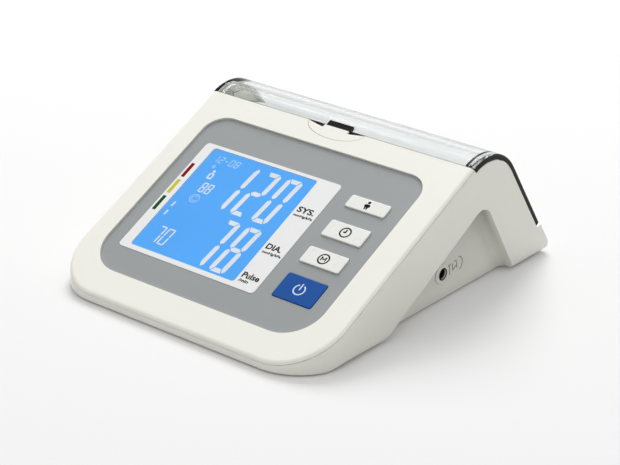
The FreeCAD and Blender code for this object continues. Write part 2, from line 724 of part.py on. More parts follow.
# ---------------------------------------------------------------- lid and latch
def lid_band(outer_inset, inner_inset, start, end_along):
    """Band that follows the bend and the back between two insets, as a face in YZ."""
    middle = (start + back) / 2.0
    edges = [Part.Arc(arc_point(start, i), arc_point(middle, i), arc_point(back, i)).toShape()
             for i in (outer_inset, inner_inset)]
    ends = [(arc_point(back, outer_inset), back_point(end_along, outer_inset)),
            (back_point(end_along, outer_inset), back_point(end_along, inner_inset)),
            (back_point(end_along, inner_inset), arc_point(back, inner_inset)),
            (arc_point(start, inner_inset), arc_point(start, outer_inset))]
    edges += [Part.LineSegment(a, b).toShape() for a, b in ends]
    return Part.Face(Part.Wire(Part.__sortEdges__(edges)))


def surface_gap(p):
    """Distance of a point from the outer surface of the lid."""
    radial = math.hypot(p.y - crown_y, p.z - crown_z)
    slant = (p - arc_point(back, 0.0)).dot(Vector(0, math.sin(back), math.cos(back)))
    return min(abs(crown_radius - radial), abs(slant))


def storage_lid():
    """Clear bent sheet over the compartment, with ribs inside the cheeks and hinge knuckles."""
    start = -slope + gap / crown_radius
    lid = lid_band(0.0, lid_thickness, start, hinge_along).extrude(Vector(width, 0, 0))
    lid.translate(Vector(-half, 0, 0))

    def on_end(edge):
        ends = [v.Point for v in edge.Vertexes]
        return all(abs(abs(p.x) - half) < 1e-6 and surface_gap(p) < 1e-3 for p in ends)

    lid = lid.makeFillet(lid_end_round, [e for e in lid.Edges if on_end(e)])
    lid = lid.fuse(along_x(-half + lid_end_round, half - lid_end_round, hinge_axis,
                           lid_thickness / 2.0))
    rib_out = half - wall - gap - tray_wall - gap
    rib_face = lid_band(lid_thickness / 2.0, lid_thickness + lid_rib_height,
                        start + lid_rib_front / crown_radius, hinge_along - lid_rib_rear)
    for x0 in (-rib_out, rib_out - lid_rib_thickness):
        rib = rib_face.extrude(Vector(lid_rib_thickness, 0, 0))
        rib.translate(Vector(x0, 0, 0))
        lid = lid.fuse(rib)
    for middle in hinge_places:
        x0, x1 = base_knuckle(middle, gap)
        lid = lid.cut(along_x(x0, x1, hinge_axis, knuckle_radius + gap))
        for x0, x1 in lid_knuckles(middle, 0.0):
            lid = lid.fuse(along_x(x0, x1, hinge_axis, knuckle_radius))
        left, right = lid_knuckles(middle, running)
        lid = lid.cut(along_x(left[0], right[1], hinge_axis, pin_radius + running))
    keep("storage_lid", lid.cut(sheet(latch_middle - notch_width / 2,
                                      latch_middle + notch_width / 2, panel_length - over,
                                      panel_length + notch_length, -over, over)))


def hinge_pins():
    spans = [lid_knuckles(middle, 0.0) for middle in hinge_places]
    keep("hinge_pins", *[along_x(left[0], right[1], hinge_axis, pin_radius)
                         for left, right in spans])


def latch():
    """Half-moon thumb piece with its flange and stem, cut for the catch."""
    thumb = half_moon(-latch_gap, 0.0, flange_top + fit / 2, panel_length - fit)
    for side in (-1, 1):
        inner = latch_middle + side * latch_tongue_half
        outer_end = latch_middle + side * latch_half_width
        points = [Vector(inner, panel_length + over, -far),
                  Vector(inner, panel_length - latch_shoulder, -far),
                  Vector(outer_end, panel_length - latch_shoulder_end, -far),
                  Vector(outer_end, panel_length + over, -far)]
        wedge = Part.Face(Part.makePolygon(points + points[:1])).extrude(Vector(0, 0, 2 * far))
        thumb = thumb.cut(on_face(wedge))
    thumb = thumb.fuse(half_moon(latch_flange, flange_top, flange_top + latch_flange,
                                 panel_length - latch_flange_back))
    side_reach = latch_tongue_half + pocket_side
    pocket = sheet(latch_middle - side_reach, latch_middle + side_reach,
                   panel_length - latch_pocket, panel_length + over, catch_depth, far)
    stem = stub(latch_middle, panel_length - stem_drop, cover_thickness / 2,
                bracket_depth + bracket_thickness / 2, latch_stem)
    keep("lid_latch", thumb.cut(pocket).fuse(stem))


def latch_catch():
    """Black catch in the thumb piece's pocket, which shows in the lid's notch."""
    low = panel_length - latch_pocket
    left, right = latch_middle - latch_tongue_half, latch_middle + latch_tongue_half
    back_face = catch_depth + catch_thickness
    catch = sheet(left, right, low, panel_length + notch_length - gap, catch_depth, back_face)
    keep("latch_catch", catch.fuse(sheet(left, right, low, low + heel_length, catch_depth,
                                         back_face + heel_thickness)))


def latch_carrier():
    """Spring under the thumb piece and the bridge that holds it, inside the cover."""
    stem_up = panel_length - stem_drop
    top = flange_top + latch_flange
    keep("latch_spring", coil(face_point(latch_middle, stem_up, top), inward, spring_radius,
                              spring_wire, bracket_depth - top, spring_turns))
    high = panel_length - bracket_drop
    low = high - bracket_width
    left, right = latch_middle - bracket_half, latch_middle + bracket_half
    bracket = sheet(left, right, low, high, bracket_depth, bracket_depth + bracket_thickness)
    for u in (left, right - bracket_leg):
        bracket = bracket.fuse(sheet(u, u + bracket_leg, low, high, cover_thickness,
                                     bracket_depth))
    keep("latch_bracket", bracket.cut(stub(latch_middle, stem_up, 0.0, far,
                                           latch_stem + running)))


# ---------------------------------------------------------------- compartment tray
def tray_section(inset, top_inset):
    """Section of the tray in YZ, set in from its outside, up to an inset of the lid's surface."""
    v_front = panel_length - tray_drop + inset
    floor = tray_bottom + inset
    top = face_point(0, v_front, cover_thickness)
    turn = face_point(0, v_front, tray_lean)
    start = math.atan2(top.y - crown_y, top.z - crown_z)
    corners = [arc_point(start, top_inset), turn, Vector(0, turn.y, floor),
               back_at_height(floor, top_inset), arc_point(back, top_inset)]
    edges = [Part.LineSegment(a, b).toShape() for a, b in zip(corners, corners[1:])]
    edges.append(Part.Arc(corners[-1], arc_point((start + back) / 2, top_inset),
                          corners[0]).toShape())
    return Part.Face(Part.Wire(edges))


def tray_solid(section, half_width, grow):
    """A tray section across the object, clear of both side arches."""
    solid = section.extrude(Vector(2 * half_width, 0, 0))
    solid.translate(Vector(-half_width, 0, 0))
    return cut_all(solid, both_sides(arch_tool(grow, arch_depth + grow)))


def cuff_tray():
    """Lining of the compartment: leaning front wall, floor and two side walls under the lid."""
    out_half = half - wall - gap
    shell = tray_solid(tray_section(0.0, under_lid), out_half, wall + gap)
    hollow = tray_solid(tray_section(tray_wall, -gap), out_half - tray_wall,
                        wall + gap + tray_wall)
    tray = shell.cut(hollow).cut(above_depth(cover_thickness, far))
    notch_half = latch_half_width + latch_flange + gap
    swept = flange_top + latch_flange + latch_travel + gap
    tray = tray.cut(sheet(latch_middle - notch_half, latch_middle + notch_half,
                          panel_length - over, panel_length + notch_length, 0.0, swept))
    for x, y in leg_places:
        leg = rod(Vector(x, y, floor_top), Z, tray_bottom + tray_wall / 2 - floor_top,
                  tray_leg_radius)
        bore = rod(Vector(x, y, 0), Z, tray_bottom - tray_leg_roof, screw_shank + fit / 2)
        tray = tray.fuse(leg).cut(bore)
    keep("cuff_tray", tray)


def tray_screws():
    """Two screws from below the floor into the tray's legs."""
    keep("tray_screws", *[pan_screw(Vector(x, y, base_bottom + tray_screw_sunk), tray_screw_cap,
                                    tray_screw_length) for x, y in leg_places])


# ---------------------------------------------------------------- display and board
def display_stack():
    """Liquid crystal glass, backlight, contact strip and the holder round them."""
    glass_top = lcd_top + lcd_ledge
    keep("lcd_glass", sheet(lcd_left, lcd_right, lcd_bottom, glass_top, cover_thickness,
                            lcd_back))
    keep("backlight", sheet(lcd_left, lcd_right, lcd_bottom, lcd_top, lcd_back, light_back))
    keep("contact_strip", sheet(window_left, window_right, strip_bottom, strip_top, lcd_back,
                                board_depth))
    w = holder_wall + fit
    holder = sheet(lcd_left - w, lcd_right + w, lcd_bottom - w, glass_top + w,
                   cover_thickness + holder_seat, board_depth)
    holder = holder.cut(sheet(lcd_left - fit, lcd_right + fit, lcd_bottom - fit,
                              glass_top + fit, -over, lcd_back))
    holder = holder.cut(sheet(lcd_left - fit, lcd_right + fit, lcd_bottom - fit, lcd_top + fit,
                              -over, light_back))
    keep("lcd_holder", holder.cut(sheet(window_left - fit, window_right + fit,
                                        strip_bottom - fit, strip_top + fit, -over, far)))


def on_board(place):
    """Place on the face of a component given from the board's side and from its middle."""
    across, up = place
    return (across - board_half if across > 0 else board_half + across), board_middle + up


def board():
    """Circuit board with its chips, capacitors, buzzer and screws."""
    pcb = sheet(-board_half, board_half, board_bottom, board_top, board_depth, board_back,
                board_corner)
    keep("main_board", cut_all(pcb, [stub(u, v, 0.0, far, standoff_bore + 2 * fit)
                                     for u, v in standoff_places]))
    parts = []
    for across, up, a, b, height in chip_places:
        u, v = on_board((across, up))
        parts.append(sheet(u - a, u + a, v - b, v + b, board_back, board_back + height))
    for place in capacitor_places:
        u, v = on_board(place)
        parts.append(stub(u, v, board_back, board_back + capacitor_height, capacitor_radius))
    keep("board_chips", *parts)
    keep("board_screws", *[stub(u, v, board_back, board_back + board_screw_cap,
                                board_screw_head).fuse(
        stub(u, v, cover_thickness + board_screw_tip, board_back, board_screw_radius))
        for u, v in standoff_places])
    u, v = on_board(buzzer_place)
    end = board_back + buzzer_height
    keep("buzzer", stub(u, v, board_back, end, buzzer_radius).cut(
        stub(u, v, end - buzzer_wall, end + over, buzzer_hole)))


def key_pad():
    """Rubber sheet on the board with one dome under each key."""
    spans = list(key_spans().values())
    pad = sheet(key_left - pad_margin, min(key_right + pad_margin, board_half),
                spans[-1][0] - pad_margin, spans[0][1] + pad_margin,
                board_depth - pad_thickness, board_depth)
    under = flange_top + key_flange + key_travel + fit
    root_depth = board_depth - pad_thickness / 2
    middle = (key_left + key_right) / 2.0
    w = key_width / 2.0 - dome_margin
    for low, high in spans:
        v, h = (low + high) / 2.0, (high - low) / 2.0 - dome_end
        pad = pad.fuse(sheet(middle - w, middle + w, v - h, v + h, under + dome_shoulder,
                             root_depth))
        pad = pad.fuse(sheet(middle - w / 2, middle + w / 2, v - h / 2, v + h / 2, under,
                             root_depth))
    keep("key_pad", pad)


# ---------------------------------------------------------------- air line
def pump():
    """Motor, pump head with its nozzle, and two rubber saddles."""
    centre = Vector(motor_left, pump_middle, pump_height)
    motor = rod(centre, X, motor_length, motor_radius)
    rims = [e for e in motor.Edges if len(e.Vertexes) == 1
            and abs(e.Vertexes[0].X - motor_left) < 1e-6]
    motor = motor.makeFillet(motor_edge, rims)
    keep("pump_motor", motor.fuse(rod(centre + X * root, -X, motor_boss_length + root,
                                      motor_boss_radius)))

    z0 = floor_top + pump_seat
    y1 = pump_front + head_width
    head = block(head_left, head_right, pump_front, y1, z0, head_top)
    long_edges = [e for e in head.Edges if abs(e.tangentAt(e.FirstParameter).x) > 0.99]
    head = head.makeFillet(head_round, long_edges)
    core = block(head_left, head_right, pump_front + groove_depth, y1 - groove_depth,
                 z0 + groove_depth, head_top - groove_depth)
    for place in groove_places:
        x = head_left + place
        head = head.cut(block(x, x + groove_width, 0, far, 0, far).cut(core))
    start = Vector(head_right - root, pump_middle, air_height)
    head = head.fuse(rod(start, X, nozzle_length + root, nozzle_radius))
    keep("pump_head", head.cut(rod(start, X, far, nozzle_bore)))

    mounts = []
    for x in (motor_left + mount_end, head_left - mount_end - mount_length):
        saddle = block(x, x + mount_length, pump_middle - mount_half, pump_middle + mount_half,
                       floor_top, pump_height - mount_clasp)
        mounts.append(saddle.cut(rod(centre - X * over, X, far, motor_radius + fit / 2)))
    keep("pump_mount", *mounts)


def manifold():
    """Cross-shaped junction of the air line, and its tube from the pump."""
    c = Vector(manifold_x, pump_middle, air_height)
    body = block(c.x - manifold_half, c.x + manifold_half, c.y - manifold_half,
                 c.y + manifold_half, c.z - manifold_half, c.z + manifold_half)
    ways = (X, -X, Y, -Y)
    body = fuse_all(body, [rod(c, way, manifold_arm, nozzle_radius) for way in ways])
    keep("air_manifold", cut_all(body, [rod(c, way, far, nozzle_bore) for way in ways]))
    near = head_right + tube_end
    keep("pump_tube", ring(Vector(near, c.y, c.z), X, c.x - manifold_half - tube_end - near,
                           tube_radius, tube_bore))


def valve():
    """Release valve behind the manifold, with its tube."""
    body = block(manifold_x - valve_width / 2, manifold_x + valve_width / 2, valve_front,
                 valve_front + valve_length, floor_top, floor_top + valve_height)
    way_in = Vector(manifold_x, valve_front - nozzle_length / 2, air_height)
    body = body.fuse(rod(way_in, Y, nozzle_length, nozzle_radius))
    keep("release_valve", body.cut(rod(way_in, Y, nozzle_length, nozzle_bore)))
    start = Vector(manifold_x, pump_middle + manifold_half + tube_end, air_height)
    keep("valve_tube", ring(start, Y, valve_front - tube_end - start.y, tube_radius, tube_bore))


def sensor():
    """Pressure sensor under the board, with its tube down to the manifold."""
    u, v = manifold_x, sensor_up
    face = board_back + sensor_height
    body = sheet(u - sensor_half, u + sensor_half, v - sensor_half, v + sensor_half, board_back,
                 face)
    body = body.fuse(stub(u, v, face - root, face + nozzle_length, nozzle_radius))
    keep("pressure_sensor", body.cut(stub(u, v, face, far, nozzle_bore)))
    start = face_point(u, v, face + tube_end)
    corner = start + inward * ((start.z - air_height) / math.cos(slope))
    end = Vector(u, pump_middle - manifold_half - tube_end, air_height)
    keep("sensor_tube", route([start, corner, end], tube_radius, tube_bore))


def socket():
    """Air socket in the right arch, its clip inside, and its tube from the manifold."""
    start = Vector(arch_face, socket_y, socket_z)
    inner_end = start - X * socket_length
    flange = rod(start, X, socket_lip, socket_flange)
    rim = [e for e in flange.Edges if len(e.Vertexes) == 1
           and e.Vertexes[0].X > arch_face + socket_lip / 2]
    body = rod(inner_end, X, socket_length, socket_body)
    body = body.fuse(flange.makeFillet(socket_lip_round, rim))
    body = body.fuse(rod(inner_end + X * root, -X, nozzle_length + root, nozzle_radius))
    body = body.cut(rod(start + X * over, -X, socket_depth + over, socket_bore))
    keep("air_socket", body.cut(rod(start, -X, far, nozzle_bore)))
    keep("socket_clip", ring(start - X * (wall + clip_thickness), X, clip_thickness,
                             socket_body + clip_width, socket_body + clip_grip))
    out = Vector(manifold_x + manifold_half + tube_end, pump_middle, air_height)
    end = inner_end - X * tube_end
    first, second = [out.x + (end.x - out.x) * share for share in socket_bends]
    keep("socket_tube", route([out, Vector(first, out.y, out.z), Vector(second, end.y, end.z),
                               end], tube_radius, tube_bore))


def jack():
    """Mains adapter jack in the left arch: square body, round sleeve and centre pin."""
    h = jack_body / 2.0
    mouth = Vector(-arch_face, socket_y, socket_z)
    x0 = mouth.x + wall
    body = block(x0, x0 + jack_length, socket_y - h, socket_y + h, socket_z - h, socket_z + h)
    body = body.fuse(rod(mouth, X, wall + root, jack_sleeve))
    body = body.cut(rod(mouth, X, jack_depth, jack_bore))
    pin = rod(mouth + X * jack_pin_start, X, jack_depth + root - jack_pin_start, jack_pin)
    keep("power_jack", body.fuse(pin))


# ---------------------------------------------------------------- batteries
def battery_door():
    """Flush door with a rounded hinge edge, two pins, grip ribs and a sprung tongue."""
    edge = door_half - door_gap
    end = door_rear - door_gap
    door = block(-edge, edge, door_axis.y, end, base_bottom, floor_top)
    door = door.fuse(along_x(-edge, edge, door_axis, floor_thickness / 2.0))
    door = door.fuse(along_x(-edge - door_pin_length, edge + door_pin_length, door_axis,
                             door_pin))
    for middle in (-door_tongue, door_tongue):
        door = door.cut(block(middle - door_slit / 2, middle + door_slit / 2,
                              end - door_slit_length, end + over, -over, far))
    for k in range(1, grip_count + 1):
        y = end - grip_pitch * k
        door = door.cut(block(-grip_half, grip_half, y - grip_width, y, -over,
                              base_bottom + grip_depth))
    keep("battery_door", door)


def battery_bay():
    """Box over the cells, open below where the door is."""
    w = bay_wall
    bay = block(-bay_inner_half - w, bay_inner_half + w, bay_front - w, bay_rear + w, floor_top,
                bay_ceiling + w)
    keep("battery_bay", bay.cut(block(-bay_inner_half, bay_inner_half, bay_front, bay_rear, 0,
                                      bay_ceiling)))


def contact_plate(face, way):
    """Square contact plate on an end wall of the bay, facing a way along X."""
    x0, x1 = sorted((face.x, face.x + way.x * contact_thickness))
    return block(x0, x1, face.y - contact_half, face.y + contact_half, face.z - contact_half,
                 face.z + contact_half)


def batteries():
    """Two rows of two cells end to end, the rows opposite ways, with springs and plates."""
    springs, plates = [], []
    for row, way in enumerate((X, -X)):
        middle = Vector(0, bay_front + gap + cell_radius + row * cell_pitch,
                        floor_top + gap + cell_radius)
        tail, nose = middle - way * bay_inner_half, middle + way * bay_inner_half
        springs.append(contact_plate(tail, way))
        springs.append(coil(tail + way * contact_thickness, way, contact_radius, contact_wire,
                            contact_spring, contact_turns))
        plates.append(contact_plate(nose, -way))
        start = tail + way * (contact_thickness + contact_spring)
        for k in range(2):
            foot = start + way * (k * (cell_length + nub_length))
            can = rod(foot, way, cell_length, cell_radius)
            can = can.makeFillet(cell_edge, [e for e in can.Edges if len(e.Vertexes) == 1])
            nub = rod(foot + way * (cell_length - fit), way, nub_length + fit, nub_radius)
            keep("battery_%d" % (2 * row + k + 1), can.fuse(nub))
    keep("battery_springs", *springs)
    keep("battery_plates", *plates)


# ---------------------------------------------------------------- build and write
for make in (front_cover, fascia, keys, base_shell, feet, housing_screws, storage_lid,
             hinge_pins, latch, latch_catch, latch_carrier, cuff_tray, tray_screws,
             display_stack, board, key_pad, pump, manifold, valve, sensor, socket, jack,
             battery_door, battery_bay, batteries):
    make()

os.makedirs("parts", exist_ok=True)
for name, shape in made.items():
    placed = shape.copy()
    placed.translate(Vector(0, -depth / 2.0, 0))
    placed.exportStep(os.path.join("parts", name + ".step"))
    print("%-18s solids %2d  valid %s  volume %9.1f" % (name, len(placed.Solids),
                                                        placed.isValid(), placed.Volume))
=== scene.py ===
"""Looks of the desktop blood pressure monitor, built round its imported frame.

Art on a surface is laid out in millimetres across and up that surface; everything else is in
metres, in the frame's own axes.
"""
import json
import logging
import math
from dataclasses import dataclass
from enum import Enum

import bmesh
import bpy
from mathutils import Matrix, Vector

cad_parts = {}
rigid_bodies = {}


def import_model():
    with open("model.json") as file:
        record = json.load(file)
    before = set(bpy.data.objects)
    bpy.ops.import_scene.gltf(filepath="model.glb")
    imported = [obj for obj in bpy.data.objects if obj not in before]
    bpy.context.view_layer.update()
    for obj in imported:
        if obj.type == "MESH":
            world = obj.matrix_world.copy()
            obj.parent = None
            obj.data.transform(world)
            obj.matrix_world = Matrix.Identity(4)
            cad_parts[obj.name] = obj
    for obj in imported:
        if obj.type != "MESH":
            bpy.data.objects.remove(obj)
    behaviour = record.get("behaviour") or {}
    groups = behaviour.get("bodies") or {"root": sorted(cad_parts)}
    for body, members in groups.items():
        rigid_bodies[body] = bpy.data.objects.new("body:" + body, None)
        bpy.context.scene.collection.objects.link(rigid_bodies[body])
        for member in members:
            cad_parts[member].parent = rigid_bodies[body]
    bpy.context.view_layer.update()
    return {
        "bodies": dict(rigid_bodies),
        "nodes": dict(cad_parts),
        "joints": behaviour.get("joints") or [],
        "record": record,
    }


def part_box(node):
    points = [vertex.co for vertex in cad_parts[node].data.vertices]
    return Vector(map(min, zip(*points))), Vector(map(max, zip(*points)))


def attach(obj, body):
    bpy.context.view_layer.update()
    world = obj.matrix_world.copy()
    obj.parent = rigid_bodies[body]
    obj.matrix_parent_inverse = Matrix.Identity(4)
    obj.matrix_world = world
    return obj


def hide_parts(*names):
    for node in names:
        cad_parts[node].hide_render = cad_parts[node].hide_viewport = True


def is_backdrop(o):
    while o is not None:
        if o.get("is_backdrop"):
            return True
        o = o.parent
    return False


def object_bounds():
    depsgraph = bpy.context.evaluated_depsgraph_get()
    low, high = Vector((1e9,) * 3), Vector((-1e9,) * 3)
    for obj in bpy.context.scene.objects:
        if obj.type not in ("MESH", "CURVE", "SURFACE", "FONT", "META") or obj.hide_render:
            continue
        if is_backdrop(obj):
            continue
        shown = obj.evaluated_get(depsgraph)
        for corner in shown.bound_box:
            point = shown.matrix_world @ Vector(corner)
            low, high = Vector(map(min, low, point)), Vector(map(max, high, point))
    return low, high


Point = tuple[float, float]
Triple = tuple[float, float, float]
Shade = tuple[int, int, int]
Colour = tuple[float, float, float, float]
Socket = bpy.types.NodeSocket

MM = 0.001
WELD = 0.000001  # corners closer than this become one
LETTER_STEPS = 4  # straight runs in each curve of a letter
BEVEL_STEPS = 2
INK_SUNK = 1.0 / 3.0  # share of an ink's thickness that lies in its surface
ACROSS, BACK, UP = (1.0, 0.0, 0.0), (0.0, 1.0, 0.0), (0.0, 0.0, 1.0)
CENTRE = (0.0, 0.0)
WHITE = (1.0, 1.0, 1.0, 1.0)
log = logging.getLogger("monitor")


def linear(shade: Shade) -> Colour:
    """Turn a display colour into the linear colour that shaders use, by the sRGB curve.

    Args:
        shade: Red, green and blue from 0 to 255.

    Returns:
        Linear red, green, blue and a full alpha.
    """
    parts = [c / 255.0 for c in shade]
    return tuple(c / 12.92 if c <= 0.04045 else ((c + 0.055) / 1.055) ** 2.4
                 for c in parts) + (1.0,)


def add_object(name: str, data: bpy.types.ID) -> bpy.types.Object:
    """Put an object into the scene.

    Args:
        name: Its name.
        data: Its mesh, text, light or camera.

    Returns:
        The object.
    """
    thing = bpy.data.objects.new(name, data)
    bpy.context.scene.collection.objects.link(thing)
    return thing


def add_mesh(name: str, mesh: bmesh.types.BMesh,
             material: bpy.types.Material) -> bpy.types.Object:
    """Make an object of a mesh and dress it.

    Args:
        name: Its name.
        mesh: Its mesh, which is used up.
        material: Its material.

    Returns:
        The object.
    """
    data = bpy.data.meshes.new(name)
    mesh.to_mesh(data)
    mesh.free()
    data.materials.append(material)
    return add_object(name, data)


# ------------------------------------------------------------------------------- finishes
class Graph:
    """Node tree of a material or of the surround, with short calls for its nodes."""

    def __init__(self, owner: bpy.types.ID) -> None:
        """Open the nodes of a material or a world."""
        owner.use_nodes = True
        self.owner, self.tree = owner, owner.node_tree

    @property
    def shader(self) -> bpy.types.Node:
        """Principled shader of the material."""
        return self.tree.nodes["Principled BSDF"]

    def feed(self, node: bpy.types.Node, inputs: dict[str | int, object]) -> None:
        """Set a node's inputs to constants, or join them to outputs.

        Args:
            node: The node.
            inputs: What each input gets, by its name or place.
        """
        for key, value in inputs.items():
            if isinstance(value, Socket):
                self.tree.links.new(value, node.inputs[key])
            else:
                node.inputs[key].default_value = value

    def give(self, inputs: dict[str, object]) -> None:
        """Feed the principled shader's own inputs."""
        self.feed(self.shader, inputs)

    def add(self, kind: str, inputs: dict[str | int, object], **settings: object
            ) -> bpy.types.Node:
        """Add a node.

        Args:
            kind: Node type without its ShaderNode prefix.
            inputs: What each input gets, by its name or place.
            settings: Properties of the node.

        Returns:
            The new node.
        """
        node = self.tree.nodes.new("ShaderNode" + kind)
        for name, value in settings.items():
            setattr(node, name, value)
        self.feed(node, inputs)
        return node

    def place(self, space: str = "Object") -> Socket:
        """Texture coordinate of a point."""
        return self.add("TexCoord", {}).outputs[space]

    def math(self, operation: str, first: object, second: object = 0.0) -> Socket:
        """Combine two numbers or outputs into one value."""
        return self.add("Math", {0: first, 1: second}, operation=operation).outputs[0]

    def along(self, axis: Triple, space: str = "Object") -> Socket:
        """Measure a texture coordinate along an axis."""
        node = self.add("VectorMath", {0: self.place(space), 1: axis}, operation="DOT_PRODUCT")
        return node.outputs["Value"]

    def off_centre(self, space: str = "Object") -> Socket:
        """Measure a texture coordinate from the centre plane, to either side."""
        return self.math("ABSOLUTE", self.along(ACROSS, space))

    def noise(self, size: float, detail: float = 2.0, stretch: Triple = (1.0, 1.0, 1.0)
              ) -> Socket:
        """Add a cloudy pattern fixed to the object.

        Args:
            size: Size of one cloud in metres.
            detail: Number of finer layers in it.
            stretch: How much finer the pattern is along each axis.

        Returns:
            The pattern's value from 0 to 1.
        """
        mapping = self.add("Mapping", {"Vector": self.place(), "Scale": stretch})
        noise = self.add("TexNoise", {"Vector": mapping.outputs[0], "Scale": 1.0 / size,
                                      "Detail": detail})
        return noise.outputs[0]

    def spread(self, value: Socket, low: float = 0.0, high: float = 1.0,
               span: Point = (0.3, 0.7)) -> Socket:
        """Map part of a value's range on to two values.

        Args:
            value: The value.
            low: Result at the lower end of the span.
            high: Result at the upper end of the span.
            span: Part of the range that counts.

        Returns:
            The mapped value.
        """
        node = self.add("MapRange", {"Value": value, "From Min": span[0], "From Max": span[1],
                                     "To Min": low, "To Max": high})
        return node.outputs["Result"]

    def blend(self, factor: Socket, first: object, second: object) -> Socket:
        """Mix two linear colours, or outputs with one, by the second one's share."""
        node = self.add("Mix", {0: factor, 6: first, 7: second}, data_type="RGBA")
        return node.outputs[2]

    def clouded(self, shade: Shade, share: float, cloud: float, detail: float = 2.0) -> Socket:
        """Add a colour that darkens a little in a cloudy pattern.

        Args:
            shade: The colour.
            share: Share of the light that the darkest clouds take out.
            cloud: Size of one cloud in metres.
            detail: Number of finer layers in it.

        Returns:
            The clouded colour.
        """
        colour = linear(shade)
        darkest = tuple(c * (1.0 - share) for c in colour[:3]) + (1.0,)
        return self.blend(self.spread(self.noise(cloud, detail)), colour, darkest)

    def overlay(self, share: Socket, shade: Shade) -> None:
        """Lay a second colour over the base colour, by its share."""
        base = self.shader.inputs["Base Color"].links[0].from_socket
        self.give({"Base Color": self.blend(share, base, linear(shade))})

    def bump(self, height: Socket, depth: float, strength: float = 1.0) -> None:
        """Raise the surface by a pattern of a given depth in metres."""
        node = self.add("Bump", {"Height": height, "Distance": depth, "Strength": strength})
        self.give({"Normal": node.outputs["Normal"]})


@dataclass(frozen=True)
class Finish:
    """What every finish shares: a name, a colour with slight drift, and a roughness."""

    name: str
    shade: Shade
    roughness: float = 0.4
    drift: float = 0.03
    cloud: float = 0.03

    COLOUR_DETAIL = 4.0
    SMEAR = 0.15  # share by which the roughness drifts either way
    SMEAR_DETAIL = 3.0
    SMEARS = 6.0  # smears across one cloud

    def graph(self) -> Graph:
        """Start the material with its drifting colour and roughness.

        Returns:
            The graph, for the finish to add to.
        """
        graph = Graph(bpy.data.materials.new(self.name))
        smooth = self.roughness * (1.0 - self.SMEAR)
        rough = min(1.0, self.roughness * (1.0 + self.SMEAR))
        smears = graph.noise(self.cloud / self.SMEARS, self.SMEAR_DETAIL)
        graph.give({"Base Color": graph.clouded(self.shade, self.drift, self.cloud,
                                                self.COLOUR_DETAIL),
                    "Roughness": graph.spread(smears, smooth, rough)})
        return graph

    def make(self) -> bpy.types.Material:
        """Build the plain form of the finish."""
        return self.graph().owner

    def material(self) -> bpy.types.Material:
        """Material of this finish, built once."""
        return bpy.data.materials.get(self.name) or self.make()


@dataclass(frozen=True)
class Moulded(Finish):
    """Moulded plastic or rubber with the fine grain of its tool."""

    grain: float = 0.0004
    grain_depth: float = 0.00001
    coat: float = 0.0
    glow: float = 0.0
    shine: float = 0.5

    BENDING = 1.49
    COAT_ROUGHNESS = 0.12
    GLOW_REACH = (0.0012, 0.001, 0.0008)
    GRAIN_DETAIL = 3.0

    def make(self) -> bpy.types.Material:
        """Add the tool's grain, its shine and a little light within the plastic.

        Returns:
            The material.
        """
        graph = self.graph()
        graph.bump(graph.noise(self.grain, self.GRAIN_DETAIL), self.grain_depth)
        graph.give({"IOR": self.BENDING, "Specular IOR Level": self.shine,
                    "Coat Weight": self.coat, "Coat Roughness": self.COAT_ROUGHNESS,
                    "Subsurface Weight": self.glow, "Subsurface Radius": self.GLOW_REACH})
        return graph.owner


@dataclass(frozen=True)
class Metal(Finish):
    """Drawn or plated metal with fine lines along one axis."""

    line: float = 0.00015
    stretch: Triple = (0.04, 1.0, 1.0)

    LINE_DEPTH = 0.000004
    LINE_STRENGTH = 0.6

    def make(self) -> bpy.types.Material:
        """Add the drawn lines.

        Returns:
            The material.
        """
        graph = self.graph()
        graph.give({"Metallic": 1.0})
        graph.bump(graph.noise(self.line, stretch=self.stretch), self.LINE_DEPTH,
                   self.LINE_STRENGTH)
        return graph.owner


@dataclass(frozen=True)
class Clear(Finish):
    """Clear plastic sheet with painted shade: dark colour, with no light let through, in its cut
    ends and its rib for the dark they reflect, and a painted shadow line at its seam.
    """

    end_from: float = 1.0
    rib_from: float = 1.0
    rib_to: float = 1.0
    edge_painted_shade: Shade = (40, 41, 40)
    bending: float = 1.49
    seam_axis: Triple = (0.0, 0.0, 0.0)
    seam_to: float = -1.0

    SMEARS = 4.0
    SMEAR_GAIN = 2.0  # how much rougher the smears are
    WAVE = 0.02
    WAVE_DEPTH = 0.00001
    WAVE_STRENGTH = 0.3

    def make(self) -> bpy.types.Material:
        """Let light through, but paint dark shade instead in both ends, the rib on the right and
        the seam.

        Returns:
            The material.
        """
        graph = Graph(bpy.data.materials.new(self.name))
        across = graph.along(ACROSS)
        end = graph.math("GREATER_THAN", graph.off_centre(), self.end_from)
        rib = graph.math("SUBTRACT", graph.math("GREATER_THAN", across, self.rib_from),
                         graph.math("GREATER_THAN", across, self.rib_to))
        seam = graph.math("LESS_THAN", graph.along(self.seam_axis), self.seam_to)
        # where shade is painted: the ends and the rib for their dark reflections, the seam for
        # its shadow line
        dark = graph.math("MAXIMUM", graph.math("MAXIMUM", end, rib), seam)
        clouds = graph.clouded(self.shade, self.drift, self.cloud)
        smears = graph.noise(self.cloud / self.SMEARS)
        graph.give({"Base Color": graph.blend(dark, clouds, linear(self.edge_painted_shade)),
                    "Roughness": graph.spread(smears, self.roughness,
                                              self.roughness * self.SMEAR_GAIN),
                    "Transmission Weight": graph.math("SUBTRACT", 1.0, dark),
                    "IOR": self.bending})
        graph.bump(graph.noise(self.WAVE), self.WAVE_DEPTH, self.WAVE_STRENGTH)
        return graph.owner


@dataclass(frozen=True)
class Lit(Finish):
    """Surface that gives light of its own, such as a lit display."""

    light: Shade = (80, 172, 255)
    strength: float = 0.9

    FALL = 0.06  # share of the light that is lost far from its guide
    PATCH = 0.05
    PATCH_DETAIL = 1.0

    def make(self) -> bpy.types.Material:
        """Add the light, a little uneven as a side-lit guide makes it.

        Returns:
            The material.
        """
        graph = self.graph()
        light = graph.clouded(self.light, self.FALL, self.PATCH, self.PATCH_DETAIL)
        graph.give({"Emission Color": light, "Emission Strength": self.strength,
                    "Specular IOR Level": 0.0})
        return graph.owner


